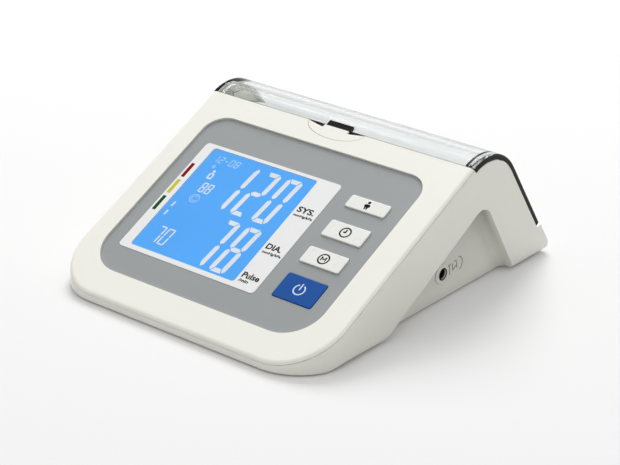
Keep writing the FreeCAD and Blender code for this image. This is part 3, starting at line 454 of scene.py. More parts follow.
@dataclass(frozen=True)
class TwoTone(Moulded):
    """Moulding in one colour whose part beyond a distance from the centre plane has another."""

    outer: Shade = (236, 235, 226)
    outer_from: float = 0.0681

    def make(self) -> bpy.types.Material:
        """Change the colour at the distance from the centre plane.

        Returns:
            The material.
        """
        graph = Graph(super().make())
        beyond = graph.math("GREATER_THAN", graph.off_centre(), self.outer_from)
        graph.overlay(beyond, self.outer)
        return graph.owner


@dataclass(frozen=True)
class ShadePaintedMoulding(Moulded):
    """Moulding with painted shade: greyer upwards in its arches and between its cheeks, where
    shade falls.
    """

    # colour of the painted shade; the spans below say where the shade is painted
    arch_painted_shade: Shade = (168, 169, 162)
    sides: Point = (0.071, 0.0742)
    heights: Point = (0.006, 0.044)
    slant: Triple = (0.0, 1.0, 0.63)
    back: Point = (0.063, 0.078)

    def make(self) -> bpy.types.Material:
        """Paint shade on the parts set in from the sides, more the higher they stand, and leave
        the back wall alone.

        Returns:
            The material.
        """
        graph = Graph(super().make())
        share = graph.spread(graph.along(UP), span=self.heights)
        for place, span in ((graph.off_centre(), self.sides),
                            (graph.along(self.slant), self.back)):
            share = graph.math("MULTIPLY", share, graph.spread(place, 1.0, 0.0, span))
        # lay the painted shade over the base colour
        graph.overlay(share, self.arch_painted_shade)
        return graph.owner


@dataclass(frozen=True)
class Circuit(Finish):
    """Green circuit board with copper tracks under its lacquer."""

    track: Shade = (70, 140, 84)
    pitch: float = 0.0022

    TRACK_SHARE = 0.12
    TRACK_HEIGHT = 0.00003
    TRACK_STRENGTH = 0.4
    STAGGER = 0.37
    PATCH = 0.012
    PATCH_EDGE = (0.48, 0.5)

    def make(self) -> bpy.types.Material:
        """Draw the tracks as a grid broken up by a coarse pattern.

        Returns:
            The material.
        """
        graph, board = self.graph(), linear(self.shade)
        grid = graph.add("TexBrick", {
            "Vector": graph.place(), "Scale": 1.0 / self.pitch, "Mortar Size": self.TRACK_SHARE,
            "Color1": board, "Color2": board, "Mortar": linear(self.track)}, offset=self.STAGGER)
        patch = graph.spread(graph.noise(self.PATCH), span=self.PATCH_EDGE)
        graph.give({"Base Color": graph.blend(patch, board, grid.outputs["Color"])})
        graph.bump(grid.outputs["Fac"], self.TRACK_HEIGHT, self.TRACK_STRENGTH)
        return graph.owner


@dataclass(frozen=True)
class Wrapped(Finish):
    """Battery cell in a plain printed wrap, with bare metal at its ends."""

    metal: Shade = (190, 191, 193)
    band: Shade = (176, 128, 74)

    FACING = 0.8
    BAND_EDGE = (0.28, 0.281)
    GRAIN = 0.0005
    GRAIN_DEPTH = 0.00001
    GRAIN_STRENGTH = 0.5

    def make(self) -> bpy.types.Material:
        """Wrap in two tones along the cell, with steel where the surface faces its ends.

        Returns:
            The material.
        """
        graph = self.graph()
        ends = graph.math("GREATER_THAN", graph.off_centre("Normal"), self.FACING)
        tone = graph.spread(graph.along(ACROSS, "Generated"), span=self.BAND_EDGE)
        wrap = graph.blend(tone, linear(self.band), linear(self.shade))
        graph.give({"Base Color": graph.blend(ends, wrap, linear(self.metal)),
                    "Metallic": ends})
        graph.bump(graph.noise(self.GRAIN), self.GRAIN_DEPTH, self.GRAIN_STRENGTH)
        return graph.owner


SHELL = ((246, 245, 236), 0.34, 0.015, 0.06, 0.0005, 0.000012, 0.15, 0.08)


class Stock(Enum):
    """Every finish used on the monitor.

    After the name and the colour come the roughness, the drift and the size of its clouds, then
    the fields of the finish's own class in their order: for a moulding the size and depth of its
    grain, its coat and its glow.
    """

    IVORY = Moulded("ivory satin shell", *SHELL)
    # the base shell gets painted shade in its arches and between its cheeks
    BASE = ShadePaintedMoulding("ivory base shell", *SHELL)
    LINING = Moulded("ivory lining", (233, 232, 224), 0.5, 0.02, 0.05, 0.0006, 0.00002)
    PANEL = Moulded("grey panel paint", (152, 156, 157), 0.42, 0.03, 0.04, 0.00025, 0.00001)
    WHITE = Moulded("white display frame", (239, 240, 239), 0.35, 0.01, 0.04, 0.0006, 0.000005)
    KEY = Moulded("white key", (240, 240, 235), 0.3, 0.015, 0.02, 0.0004, 0.000008, 0.2, 0.1)
    BLUE_KEY = Moulded("blue key", (6, 80, 160), 0.4, 0.05, 0.02, 0.0004, 0.000008, shine=0.15)
    BLACK = Moulded("black moulding", (9, 9, 10), 0.45, 0.1, 0.02, 0.0005, 0.000015, shine=0.08)
    DARK = Moulded("dark moulding", (48, 49, 52), 0.5, 0.12, 0.02, 0.0006, 0.00002)
    RUBBER = Moulded("foot rubber", (44, 44, 45), 0.8, 0.15, 0.01, 0.0007, 0.00004)
    SILICONE = Moulded("silicone rubber", (214, 214, 206), 0.45, 0.04, 0.02, 0.0006, 0.00001,
                       0.0, 0.3)
    GUIDE = Moulded("light guide", (222, 234, 246), 0.25, 0.02, 0.03, 0.0008, 0.000004, 0.3)
    CHIP = Moulded("component resin", (34, 35, 38), 0.55, 0.2, 0.006, 0.0004, 0.00002)
    INK = Moulded("black ink", (12, 12, 14), 0.6, 0.12, 0.004, 0.0002, 0.000004, shine=0.05)
    # darker than the shell as painted shade, standing for the shading round the raised strokes of
    # the mark
    MARK = Moulded("moulded mark", (150, 150, 142), 0.5, 0.05, 0.004, 0.0002, 0.000004)
    # black within the flange as painted shade for the deep bore; ivory on the flange, its own
    # colour
    SOCKET = TwoTone("socket moulding", (10, 10, 11), 0.5, 0.1, 0.01, 0.0005, 0.00001)
    PALE_INK = Moulded("pale ink", (206, 224, 240), 0.45, 0.05, 0.004, 0.0002, 0.000004)
    RED_INK = Moulded("red ink", (138, 10, 18), 0.6, 0.12, 0.005, 0.0002, 0.000004, shine=0.05)
    YELLOW_INK = Moulded("yellow ink", (214, 204, 60), 0.6, 0.1, 0.005, 0.0002, 0.000004,
                         shine=0.05)
    GREEN_INK = Moulded("green ink", (10, 84, 44), 0.6, 0.12, 0.005, 0.0002, 0.000004,
                        shine=0.05)
    STEEL = Metal("plated steel", (176, 178, 182), 0.34, 0.08, 0.01)
    SPRING = Metal("spring steel", (190, 192, 196), 0.3, 0.08, 0.006, 0.0001, (1.0, 1.0, 0.2))
    CAN = Metal("drawn motor can", (198, 200, 202), 0.36, 0.06, 0.02)
    CELL = Wrapped("wrapped cell", (46, 48, 54), 0.3, 0.06, 0.01)
    BOARD = Circuit("green circuit board", (22, 92, 48), 0.4, 0.06, 0.02)
    PANE = Clear("clear pane", (250, 252, 253), 0.02, 0.01, 0.03, bending=1.22)
    # the lid's ends, its right rib and its front seam get painted shade in this dark grey
    LID = Clear("clear lid", (234, 236, 236), 0.05, 0.02, 0.06, 0.0745, 0.0698, 0.0712,
                (56, 56, 55), 1.1, (0.0, 0.896486, 0.443071), 0.04995)
    CELL_GLASS = Lit("lit display", (6, 20, 46), 0.6, 0.05, 0.03, (80, 172, 254), 0.97)
    SEGMENT = Lit("display segment", (60, 66, 72), 0.6, 0.03, 0.01, (226, 231, 236), 0.95)
    FAINT = Lit("faint segment", (30, 50, 70), 0.6, 0.03, 0.01, (176, 214, 246), 0.95)


# ------------------------------------------------------------------------------- planes and art
@dataclass(frozen=True)
class Span:
    """How far a solid reaches in a plane's axes, in millimetres."""

    left: float
    right: float
    low: float
    high: float
    near: float
    far: float

    @property
    def middle(self) -> Point:
        """Middle of the solid across and up the plane."""
        return (self.left + self.right) / 2.0, (self.low + self.high) / 2.0


@dataclass(frozen=True)
class Plane:
    """A flat surface of the object with its own axes across, up and into the object."""

    origin: Vector
    across: Vector
    up: Vector
    inward: Vector

    def point(self, u: float, v: float, d: float) -> Vector:
        """Point u across, v up and d into the surface, all in millimetres."""
        return self.origin + (self.across * u + self.up * v + self.inward * d) * MM

    def span(self, solid: bpy.types.Object) -> Span:
        """Measure a solid in this plane's axes.

        Args:
            solid: The frame's solid.

        Returns:
            Its reach in millimetres.
        """
        offsets = [(v.co - self.origin) / MM for v in solid.data.vertices]
        reach = []
        for axis in (self.across, self.up, self.inward):
            places = [offset.dot(axis) for offset in offsets]
            reach += [min(places), max(places)]
        return Span(*reach)

    @classmethod
    def sloped_face(cls, frame: dict) -> "Plane":
        """Find the sloped face: its tilt from the latch's travel, its height from the cover.

        Args:
            frame: The loaded frame.

        Returns:
            The face, with its origin in the middle of the front edge.
        """
        press = next(j for j in frame["joints"] if j["name"] == "latch_press")
        inward = Vector(press["axis"]).normalized()
        level = min(v.co.dot(inward) for v in frame["nodes"]["front_cover"].data.vertices)
        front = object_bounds()[0][1]
        height = (level - front * inward.y) / inward.z
        return cls(Vector((0.0, front, height)), Vector(ACROSS),
                   Vector((0.0, -inward.z, inward.y)), inward)


@dataclass(frozen=True)
class Drawing:
    """A sign made of simple shapes, each given as Artwork's method of its kind takes it."""

    discs: tuple[tuple, ...] = ()
    blocks: tuple[tuple, ...] = ()
    outlines: tuple[tuple, ...] = ()
    rings: tuple[tuple, ...] = ()
    bars: tuple[tuple, ...] = ()


class Artwork:
    """Flat shapes, measured from an origin, that become one thin raised piece on a plane."""

    def __init__(self, origin: Point = CENTRE) -> None:
        """Start with no shapes."""
        self.origin = origin
        self.faces: list[list[Point]] = []

    def polygon(self, points: list[Point]) -> None:
        """Add one filled outline."""
        self.faces.append([(self.origin[0] + x, self.origin[1] + y) for x, y in points])

    def ring(self, centre: Point, outer: float, inner: float, start: float = 0.0,
             end: float = 360.0, steps: int = 40) -> None:
        """Add a ring or part of one.

        Args:
            centre: Its middle.
            outer: Outer radius.
            inner: Inner radius.
            start: Angle where it starts, in degrees from across.
            end: Angle where it ends.
            steps: Number of straight runs.
        """
        angles = [math.radians(start + (end - start) * k / steps) for k in range(steps + 1)]
        for a, b in zip(angles, angles[1:]):
            self.polygon([(centre[0] + r * math.cos(t), centre[1] + r * math.sin(t))
                          for r, t in ((outer, a), (outer, b), (inner, b), (inner, a))])

    def disc(self, centre: Point, radius: float, steps: int = 32) -> None:
        """Add a filled circle."""
        turns = [2.0 * math.pi * k / steps for k in range(steps)]
        self.polygon([(centre[0] + radius * math.cos(t), centre[1] + radius * math.sin(t))
                      for t in turns])

    def bar(self, start: Point, end: Point, width: float) -> None:
        """Add a straight bar.

        Args:
            start: Middle of one end.
            end: Middle of the other end.
            width: Its width.
        """
        a, b = Vector(start), Vector(end)
        side = Vector((a.y - b.y, b.x - a.x)).normalized() * (width / 2.0)
        self.polygon([a + side, a - side, b - side, b + side])

    def rounded(self, left: float, right: float, low: float, high: float, radius: float,
                steps: int = 8) -> None:
        """Add a rectangle with rounded corners.

        Args:
            left: Left edge.
            right: Right edge.
            low: Lower edge.
            high: Upper edge.
            radius: Radius of the corners.
            steps: Straight runs in each corner.
        """
        corners = ((right - radius, high - radius, 0), (left + radius, high - radius, 90),
                   (left + radius, low + radius, 180), (right - radius, low + radius, 270))
        self.polygon([(x + radius * math.cos(math.radians(start + 90.0 * k / steps)),
                       y + radius * math.sin(math.radians(start + 90.0 * k / steps)))
                      for x, y, start in corners for k in range(steps + 1)])

    def outline(self, points: tuple[Point, ...], stroke: float) -> None:
        """Add the outline of a convex shape.

        Args:
            points: Corners of the shape.
            stroke: Width of the line, which lies inside the shape's edge.
        """
        inner = inset(points, stroke)
        for k, point in enumerate(points):
            after = (k + 1) % len(points)
            self.polygon([point, points[after], inner[after], inner[k]])

    def draw(self, drawing: Drawing) -> None:
        """Add every shape of a drawing.

        Args:
            drawing: The drawing.
        """
        for add, shapes in ((self.disc, drawing.discs), (self.rounded, drawing.blocks),
                            (self.outline, drawing.outlines), (self.ring, drawing.rings),
                            (self.bar, drawing.bars)):
            for shape in shapes:
                add(*shape)

    def words(self, text: str, low: float, width: float, height: float, weight: float) -> None:
        """Add words that fill a box at the left.

        Args:
            text: The words.
            low: Lower edge of the box.
            width: Width of the box.
            height: Height of the box.
            weight: How far the letters' edges are moved outwards, as a share of their size.
        """
        font = bpy.data.curves.new("words", "FONT")
        font.body, font.offset, font.resolution_u = text, weight, LETTER_STEPS
        carrier = add_object("words", font)
        bpy.context.view_layer.update()
        graph = bpy.context.evaluated_depsgraph_get()
        mesh = bpy.data.meshes.new_from_object(carrier.evaluated_get(graph))
        places = [v.co.copy() for v in mesh.vertices]
        x0, x1 = min(p.x for p in places), max(p.x for p in places)
        y0, y1 = min(p.y for p in places), max(p.y for p in places)
        for face in mesh.polygons:
            self.polygon([((places[k].x - x0) / (x1 - x0) * width,
                           low + (places[k].y - y0) / (y1 - y0) * height)
                          for k in face.vertices])
        bpy.data.objects.remove(carrier)
        bpy.data.curves.remove(font)
        bpy.data.meshes.remove(mesh)

    def piece(self, name: str, plane: Plane, depth: float, rise: float, stock: Stock,
              body: str = "housing", soften: float = 0.0) -> bpy.types.Object:
        """Turn the shapes into a thin closed piece that stands on a plane.

        Args:
            name: Name of the piece.
            plane: Surface it lies on.
            depth: Depth of its underside below the plane, in millimetres.
            rise: Its thickness, in millimetres.
            stock: Its finish.
            body: Body of the frame it moves with.
            soften: Width of its edges' rounding, in millimetres.

        Returns:
            The piece.
        """
        mesh = bmesh.new()
        for face in self.faces:
            mesh.faces.new([mesh.verts.new(plane.point(u, v, depth)) for u, v in face])
        bmesh.ops.remove_doubles(mesh, verts=mesh.verts[:], dist=WELD)
        raised = bmesh.ops.extrude_face_region(mesh, geom=mesh.faces[:])["geom"]
        bmesh.ops.translate(mesh, vec=plane.inward * (-rise * MM),
                            verts=[v for v in raised if isinstance(v, bmesh.types.BMVert)])
        bmesh.ops.recalc_face_normals(mesh, faces=mesh.faces[:])
        piece = add_mesh(name, mesh, stock.value.material())
        if soften:
            bevel = piece.modifiers.new("soft edges", "BEVEL")
            bevel.width, bevel.segments, bevel.limit_method = soften * MM, BEVEL_STEPS, "ANGLE"
        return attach(piece, body)


def inset(points: tuple[Point, ...], by: float) -> list[Point]:
    """Move every edge of a convex outline inwards.

    Args:
        points: The outline, in either direction.
        by: How far the edges move.

    Returns:
        The smaller outline, with as many points.
    """
    middle = sum((Vector(p) for p in points), Vector(CENTRE)) / len(points)
    lines = []
    for a, b in zip(points, points[1:] + points[:1]):
        run = (Vector(b) - Vector(a)).normalized()
        side = Vector((-run.y, run.x))
        if side.dot(middle - Vector(a)) < 0.0:
            side = -side
        lines.append((Vector(a) + side * by, run))
    result = []
    for (p, r), (q, s) in zip(lines[-1:] + lines[:-1], lines):
        cross = r.x * s.y - r.y * s.x
        t = ((q.x - p.x) * s.y - (q.y - p.y) * s.x) / cross
        result.append(tuple(p + r * t))
    return result


# ------------------------------------------------------------------------------- sub-assemblies
@dataclass
class SubAssembly:
    """Common ground: the frame, and which solids take which finish."""

    frame: dict

    def finishes(self) -> dict[Stock, tuple[str, ...]]:
        """Solids of this sub-assembly under the finish that each takes."""
        return {}

    def build(self) -> list[bpy.types.Object]:
        """Pieces that this sub-assembly adds to its solids."""
        return []

    def solid(self, name: str) -> bpy.types.Object:
        """One of the frame's solids."""
        return self.frame["nodes"][name]

    def dress(self) -> int:
        """Give each solid its finish.

        Returns:
            How many solids were dressed.
        """
        pairs = [(stock, name) for stock, names in self.finishes().items() for name in names]
        for stock, name in pairs:
            self.solid(name).material_slots[0].material = stock.value.material()
        return len(pairs)


@dataclass
class Housing(SubAssembly):
    """Cover, base, feet and screws, with the mark and a black ring of painted shade round the air
    socket's bore.
    """

    socket_lip: float = 0.8
    bore_radius: float = 2.3
    shade_ring_radius: float = 2.85
    sunk: float = 0.05
    rise: float = 0.2
    soften: float = 0.1
    mark: Drawing = Drawing(
        bars=(((4.6, 1.8), (6.8, 2.3), 0.5), ((5.8, 1.7), (6.2, -2.6), 0.5),
              ((7.9, 2.2), (8.5, -1.6), 0.5), ((9.0, 2.6), (11.0, 2.9), 0.5),
              ((8.8, -0.9), (10.9, 0.3), 0.5), ((11.0, 2.2), (11.5, -1.2), 0.5)),
        rings=(((12.2, 0.5), 3.6, 3.1, -66.0, 84.0, 24),))

    def finishes(self) -> dict[Stock, tuple[str, ...]]:
        """Shells in ivory, feet in rubber and screws in steel."""
        return {Stock.IVORY: ("front_cover", "battery_door"), Stock.BASE: ("base_shell",),
                Stock.RUBBER: ("rubber_feet",), Stock.STEEL: ("housing_screws", "tray_screws")}

    def build(self) -> list[bpy.types.Object]:
        """Raise the mark on the wall of the right arch, and lay a black ring of painted shade
        round the socket's bore.

        Returns:
            The mark and the ring of painted shade.
        """
        low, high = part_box("air_socket")
        hole = (low + high) / 2.0
        wall = Plane(Vector((high.x - self.socket_lip * MM, hole.y, hole.z)), Vector(BACK),
                     Vector(UP), -Vector(ACROSS))
        mark, seal = Artwork(), Artwork()
        mark.draw(self.mark)
        # the second artwork is a black ring of painted shade at the bore's mouth
        seal.ring(CENTRE, self.shade_ring_radius, self.bore_radius)
        return [mark.piece("arm_cuff_mark", wall, self.sunk, self.rise, Stock.MARK,
                           soften=self.soften),
                seal.piece("socket_seal", wall, self.sunk - self.socket_lip, self.rise,
                           Stock.BLACK)]


@dataclass
class Fascia(SubAssembly):
    """Grey panel and white display frame, with its words and colour bars."""

    face: Plane
    word_gap: float = 1.5
    bar_left: float = 1.1
    bar_width: float = 1.9
    bar_corner: float = 0.2
    bar_corner_steps: int = 3
    ink_rise: float = 0.03
    # each line of words: the words, their height in the frame, their width, height and weight
    words: tuple[tuple[str, float, float, float, float], ...] = (
        ("SYS.", 47.1, 9.3, 3.3, 0.03), ("mmHg/kPa", 44.2, 10.4, 1.8, 0.035),
        ("DIA.", 23.7, 8.4, 3.2, 0.03), ("mmHg/kPa", 20.8, 10.4, 1.8, 0.035),
        ("Pulse", 6.1, 9.3, 3.2, 0.03), ("/min", 3.7, 5.3, 1.7, 0.035))
    # each bar: its name, where it starts in the frame, its length and its ink
    bars: tuple[tuple[str, float, float, Stock], ...] = (
        ("red_bar", 45.1, 9.0, Stock.RED_INK), ("yellow_bar", 34.4, 8.9, Stock.YELLOW_INK),
        ("green_bar", 23.5, 9.0, Stock.GREEN_INK))

    def finishes(self) -> dict[Stock, tuple[str, ...]]:
        """Grey paint on the panel and smooth white on the frame."""
        return {Stock.PANEL: ("control_panel",), Stock.WHITE: ("display_frame",)}

    def build(self) -> list[bpy.types.Object]:
        """Print the words and the bars on the display frame.

        Returns:
            The prints.
        """
        frame = self.face.span(self.solid("display_frame"))
        window = self.face.span(self.solid("display_window"))
        depth = frame.near + self.ink_rise * INK_SUNK
        words = Artwork((window.right + self.word_gap, frame.low))
        for line in self.words:
            words.words(*line)
        pieces = [words.piece("frame_words", self.face, depth, self.ink_rise, Stock.INK)]
        for name, low, height, stock in self.bars:
            bar = Artwork((frame.left + self.bar_left, frame.low))
            bar.rounded(0.0, self.bar_width, low, low + height, self.bar_corner,
                        self.bar_corner_steps)
            pieces.append(bar.piece(name, self.face, depth, self.ink_rise, stock))
        return pieces


@dataclass(frozen=True)
class Digits:
    """Seven-segment figures of one size."""

    width: float
    height: float
    stroke: float
    pitch: float
    lean: float = 0.075
    space: float = 0.35

    LIT = {"0": "abcdef", "1": "bc", "2": "abdeg", "7": "abc", "8": "abcdefg", "-": "g"}

    def segment(self, letter: str) -> list[Point]:
        """Outline of one segment, before it leans.

        Args:
            letter: Segment from a, at the top, round to g, in the middle.

        Returns:
            Its corners.
        """
        w, h, t, e = self.width, self.height, self.stroke, self.space
        m, b = h / 2.0, t / 2.0
        top = [(e + b, h), (w - e - b, h), (w - e - t, h - t), (e + t, h - t)]
        right = [(w - b, h - e), (w, h - e - b), (w, m + e + b), (w - b, m + e),
                 (w - t, m + e + b), (w - t, h - e - t)]
        middle = [(e + b, m), (e + t, m + b), (w - e - t, m + b), (w - e - b, m),
                  (w - e - t, m - b), (e + t, m - b)]
        return {"a": top, "b": right, "c": [(x, h - y) for x, y in right],
                "d": [(x, h - y) for x, y in top], "e": [(w - x, h - y) for x, y in right],
                "f": [(w - x, y) for x, y in right], "g": middle}[letter]

    def draw(self, art: Artwork, figures: str, left: float, low: float) -> None:
        """Add figures to some artwork.

        Args:
            art: Artwork to add to.
            figures: The figures, with a blank for an unlit place.
            left: Left edge of the first figure at its foot.
            low: Foot of the figures.
        """
        for place, figure in enumerate(figures):
            for letter in self.LIT.get(figure, ""):
                art.polygon([(left + place * self.pitch + x + y * self.lean, low + y)
                             for x, y in self.segment(letter)])


class Figures(Enum):
    """Sizes of the display's figures."""

    READING = Digits(8.8, 27.8, 2.4, 12.3)
    PULSE = Digits(3.9, 9.9, 0.7, 5.0, 0.07, 0.1)
    MEMORY = Digits(2.7, 6.0, 0.6, 3.5, 0.08, 0.07)
    DATE = Digits(2.3, 4.1, 0.45, 3.1, 0.12, 0.05)


@dataclass
class Display(SubAssembly):
    """Clear pane over the lit cell, with figures and signs placed from the lower left corner."""

    face: Plane
    pane_thickness: float = 0.3
    pane_soften: float = 0.08
    cell_depth: float = 0.42
    cell_thickness: float = 1.2
    corner: float = 1.4
    seal: float = 0.12
    ink_rise: float = 0.02
    # each row of figures: its size, the figures, and where it starts across and up the window
    bright: tuple[tuple[Figures, str, float, float], ...] = (
        (Figures.READING, "120", 19.6, 32.5), (Figures.READING, " 78", 19.6, 1.4),
        (Figures.PULSE, "70", 6.1, 4.7), (Figures.MEMORY, "88", 8.9, 37.9))
    faint: tuple[tuple[Figures, str, float, float], ...] = (
        (Figures.DATE, "12-08", 3.4, 56.2),)
    bright_signs: Drawing = Drawing(
        bars=(((3.1, 20.4), (3.4, 23.4), 0.8), ((3.1, 25.9), (3.4, 28.9), 0.8)),
        discs=(((9.1, 51.0), 0.75),),
        outlines=((((7.6, 49.1), (8.3, 49.9), (9.9, 49.9), (10.6, 49.1), (10.4, 46.2),
                    (7.8, 46.2)), 0.75),))
    faint_signs: Drawing = Drawing(
        rings=(((6.8, 53.5), 0.9, 0.45, 0.0, 360.0, 20), ((10.8, 33.9), 2.6, 2.25),
               ((10.8, 33.9), 1.6, 1.3, 30.0, 330.0)))

    def finishes(self) -> dict[Stock, tuple[str, ...]]:
        """Finishes of the solids that lie under the pane."""
        return {Stock.CELL_GLASS: ("lcd_glass",), Stock.GUIDE: ("backlight",),
                Stock.WHITE: ("lcd_holder",), Stock.SILICONE: ("contact_strip",)}

    def build(self) -> list[bpy.types.Object]:
        """Lay the pane, the lit cell, the figures and the signs into the frame's window.

        Returns:
            The pieces.
        """
        window = self.face.span(self.solid("display_window"))
        width, height = window.right - window.left, window.high - window.low
        top = window.near + self.cell_depth
        pane, cell, bright, faint = (Artwork((window.left, window.low)) for _ in range(4))
        pane.rounded(0.0, width, 0.0, height, self.corner)
        glass = pane.piece("window_pane", self.face, window.near + self.pane_thickness,
                           self.pane_thickness, Stock.PANE, soften=self.pane_soften)
        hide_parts("display_window")
        cell.rounded(self.seal, width - self.seal, self.seal, height - self.seal, self.corner)
        lit = cell.piece("lit_cell", self.face, top + self.cell_thickness, self.cell_thickness,
                         Stock.CELL_GLASS)
        for art, rows, signs in ((bright, self.bright, self.bright_signs),
                                 (faint, self.faint, self.faint_signs)):
            for size, figures, left, low in rows:
                size.value.draw(art, figures, left, low)
            art.draw(signs)
        return [glass, lit,
                bright.piece("lit_figures", self.face, top, self.ink_rise, Stock.SEGMENT),
                faint.piece("faint_figures", self.face, top, self.ink_rise, Stock.FAINT)]


class KeySign(Enum):
    """Signs on the keys, each drawn round the middle of the key of its name."""

    USER = Drawing(discs=(((0.0, 1.75), 0.75),), blocks=((-1.45, 1.45, -1.1, 0.7, 0.7),),
                   bars=(((-0.5, -1.0), (-0.5, -2.2), 0.75), ((0.5, -1.0), (0.5, -2.2), 0.75)))
    CLOCK = Drawing(rings=((CENTRE, 2.9, 2.2),),
                    bars=(((0.0, -0.35), (0.0, 1.7), 0.75), ((0.35, 0.0), (-1.2, 0.0), 0.75)))
    MEMORY = Drawing(rings=((CENTRE, 2.95, 2.25),),
                     bars=(((-1.15, -1.2), (-1.15, 1.2), 0.55), ((-1.15, 1.15), (0.0, -0.5), 0.5),
                           ((1.15, -1.2), (1.15, 1.2), 0.55), ((1.15, 1.15), (0.0, -0.5), 0.5)))
    POWER = Drawing(rings=((CENTRE, 3.0, 2.35, 118.0, 422.0),),
                    bars=(((0.0, -0.2), (0.0, 3.5), 0.65),))


@dataclass
class KeySet(SubAssembly):
    """Three white keys and the blue power key, with their signs."""

    face: Plane
    ink_rise: float = 0.03
    sign_shift: float = -0.2

    def finishes(self) -> dict[Stock, tuple[str, ...]]:
        """White keys, and blue for power."""
        return {Stock.KEY: ("user_button", "clock_button", "memory_button"),
                Stock.BLUE_KEY: ("power_button",)}

    def build(self) -> list[bpy.types.Object]:
        """Print each key's sign on its top.

        Returns:
            The prints, each on its key's body.
        """
        pieces = []
        for sign in KeySign:
            name = sign.name.lower()
            key = self.face.span(self.solid(name + "_button"))
            art = Artwork((key.middle[0] + self.sign_shift, key.middle[1]))
            art.draw(sign.value)
            stock = Stock.PALE_INK if sign is KeySign.POWER else Stock.INK
            depth = key.near + self.ink_rise * INK_SUNK
            pieces.append(art.piece(name + "_sign", self.face, depth, self.ink_rise, stock,
                                    name + "_key"))
        return pieces


@dataclass
class Lid(SubAssembly):
    """Clear lid, its hinge pins, the latch and the lining of the compartment."""

    def finishes(self) -> dict[Stock, tuple[str, ...]]:
        """Clear lid, steel pins, ivory latch with a black catch, ivory lining."""
        return {Stock.LID: ("storage_lid",), Stock.STEEL: ("hinge_pins",),
                Stock.IVORY: ("lid_latch",), Stock.BLACK: ("latch_catch",),
                Stock.SPRING: ("latch_spring",), Stock.LINING: ("latch_bracket", "cuff_tray")}


@dataclass
class Electronics(SubAssembly):
    """Board with its components, the buzzer and the rubber key pad."""

    def finishes(self) -> dict[Stock, tuple[str, ...]]:
        """Green board, dark components, steel screws and pale rubber."""
        return {Stock.BOARD: ("main_board",), Stock.CHIP: ("board_chips", "pressure_sensor"),
                Stock.BLACK: ("buzzer",), Stock.STEEL: ("board_screws",),
                Stock.SILICONE: ("key_pad",)}


@dataclass
class AirLine(SubAssembly):
    """Pump, valve, manifold, tubes and the air socket."""

    def finishes(self) -> dict[Stock, tuple[str, ...]]:
        """Metal motor, dark mouldings and pale tubes."""
        return {Stock.CAN: ("pump_motor",), Stock.DARK: ("pump_head", "release_valve"),
                Stock.RUBBER: ("pump_mount",), Stock.BLACK: ("air_manifold",),
                Stock.SOCKET: ("air_socket",), Stock.SPRING: ("socket_clip",),
                Stock.SILICONE: ("pump_tube", "sensor_tube", "socket_tube", "valve_tube")}


@dataclass
class Power(SubAssembly):
    """Battery bay with its cells and contacts, and the adapter jack."""

    def finishes(self) -> dict[Stock, tuple[str, ...]]:
        """Ivory bay, wrapped cells, bright contacts and a black jack."""
        return {Stock.LINING: ("battery_bay",), Stock.BLACK: ("power_jack",),
                Stock.SPRING: ("battery_springs", "battery_plates"),
                Stock.CELL: ("battery_1", "battery_2", "battery_3", "battery_4")}


# ------------------------------------------------------------------------------- studio
@dataclass(frozen=True)
class Lamp:
    """One soft lamp that points at the object: its place, size and power."""

    name: str
    place: Triple
    side: float
    power: float

    def build(self) -> bpy.types.Object:
        """Hang the lamp.

        Returns:
            The lamp.
        """
        data = bpy.data.lights.new(self.name, "AREA")
        data.shape, data.size, data.energy = "SQUARE", self.side, self.power
        lamp = add_object(self.name, data)
        lamp.location = self.place
        lamp.rotation_euler = (-Vector(self.place)).to_track_quat("-Z", "Y").to_euler()
        return lamp


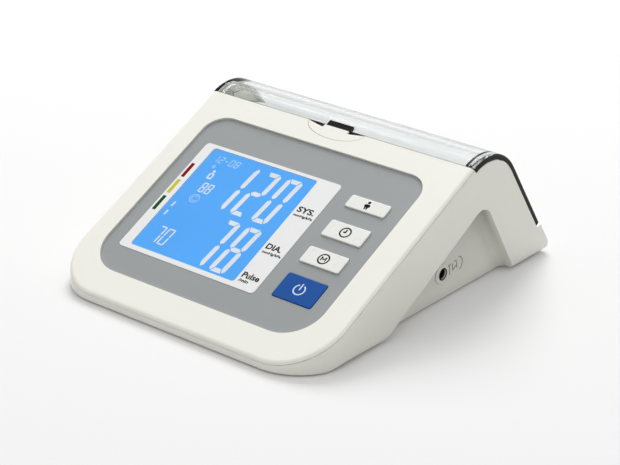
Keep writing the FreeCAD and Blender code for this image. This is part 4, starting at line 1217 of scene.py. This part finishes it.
@dataclass
class Studio:
    """White floor, one soft lamp behind, an even white surround and the camera."""

    floor_half: float = 3.0
    floor_albedo: float = 0.75
    floor_roughness: float = 0.9
    floor_lift: float = 0.07
    surround: float = 0.08
    sky_axis: Triple = (0.05, -0.06, 0.99)
    sky_low: float = 0.2
    sky_peak: float = 1.17
    lamp: Lamp = Lamp("rear_lamp", (-1.0, 1.5, 1.8), 1.3, 44.0)
    lens: float = 121.94
    sensor: float = 36.0
    eye: Triple = (0.545577, -0.665335, 0.405906)
    aim: Triple = (-0.00068, 0.006587, 0.015234)
    roll: float = 0.458

    @staticmethod
    def white_rays(graph: Graph) -> Socket:
        """Tell rays that see the surround from rays that only light the object.

        Args:
            graph: Nodes to add to.

        Returns:
            1 for camera, glossy and transmission rays, and 0 for the rest.
        """
        path = graph.add("LightPath", {}).outputs
        direct = graph.math("MAXIMUM", path["Is Camera Ray"], path["Is Glossy Ray"])
        return graph.math("MAXIMUM", direct, path["Is Transmission Ray"])

    def floor(self) -> bpy.types.Object:
        """Lay the floor.

        Returns:
            The floor, marked as stage.
        """
        graph = Graph(bpy.data.materials.new("white floor"))
        lift = graph.math("MULTIPLY", self.white_rays(graph), self.floor_lift)
        graph.give({"Base Color": (self.floor_albedo,) * 3 + (1.0,),
                    "Roughness": self.floor_roughness, "Specular IOR Level": 0.0,
                    "Emission Color": WHITE, "Emission Strength": lift})
        mesh = bmesh.new()
        bmesh.ops.create_grid(mesh, x_segments=1, y_segments=1, size=self.floor_half)
        floor = add_mesh("studio_floor", mesh, graph.owner)
        floor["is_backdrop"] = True
        return floor

    def world(self) -> None:
        """Surround the stage with white, which lights the object mostly from overhead."""
        graph = Graph(bpy.data.worlds.new("white surround"))
        seen = graph.tree.nodes["Background"]
        graph.feed(seen, {"Color": WHITE, "Strength": 1.0})
        height = graph.along(Vector(self.sky_axis).normalized(), "Generated")
        level = graph.spread(height, self.surround, self.sky_peak, (self.sky_low, 1.0))
        light = graph.add("Background", {"Color": WHITE, "Strength": level})
        mix = graph.add("MixShader", {0: self.white_rays(graph), 1: light.outputs[0],
                                      2: seen.outputs[0]})
        graph.feed(graph.tree.nodes["World Output"], {"Surface": mix.outputs[0]})
        bpy.context.scene.world = graph.owner

    def camera(self) -> bpy.types.Object:
        """Set up the camera.

        Returns:
            The camera.
        """
        data = bpy.data.cameras.new("camera")
        data.lens, data.sensor_width = self.lens, self.sensor
        camera = add_object("camera", data)
        look = (Vector(self.aim) - Vector(self.eye)).to_track_quat("-Z", "Y").to_matrix()
        camera.matrix_world = (Matrix.Translation(self.eye) @ look.to_4x4()
                               @ Matrix.Rotation(math.radians(self.roll), 4, "Z"))
        bpy.context.scene.camera = camera
        return camera

    def build(self) -> list[bpy.types.Object]:
        """Set up the whole studio.

        Returns:
            Its objects.
        """
        bpy.context.scene.view_settings.view_transform = "Standard"
        self.world()
        return [self.floor(), self.camera(), self.lamp.build()]


def main() -> None:
    """Load the frame, build every sub-assembly in order and set up the studio."""
    logging.basicConfig(level=logging.INFO, format="%(name)s: %(message)s")
    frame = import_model()
    face = Plane.sloped_face(frame)
    for part in (Housing(frame), Fascia(frame, face), Display(frame, face), KeySet(frame, face),
                 Lid(frame), Electronics(frame), AirLine(frame), Power(frame)):
        log.info("%s: %d solids dressed", type(part).__name__, part.dress())
        for piece in part.build():
            log.info("%s: piece %s", type(part).__name__, piece.name)
    for item in Studio().build():
        log.info("studio: %s", item.name)


if __name__ == "__main__":
    main()
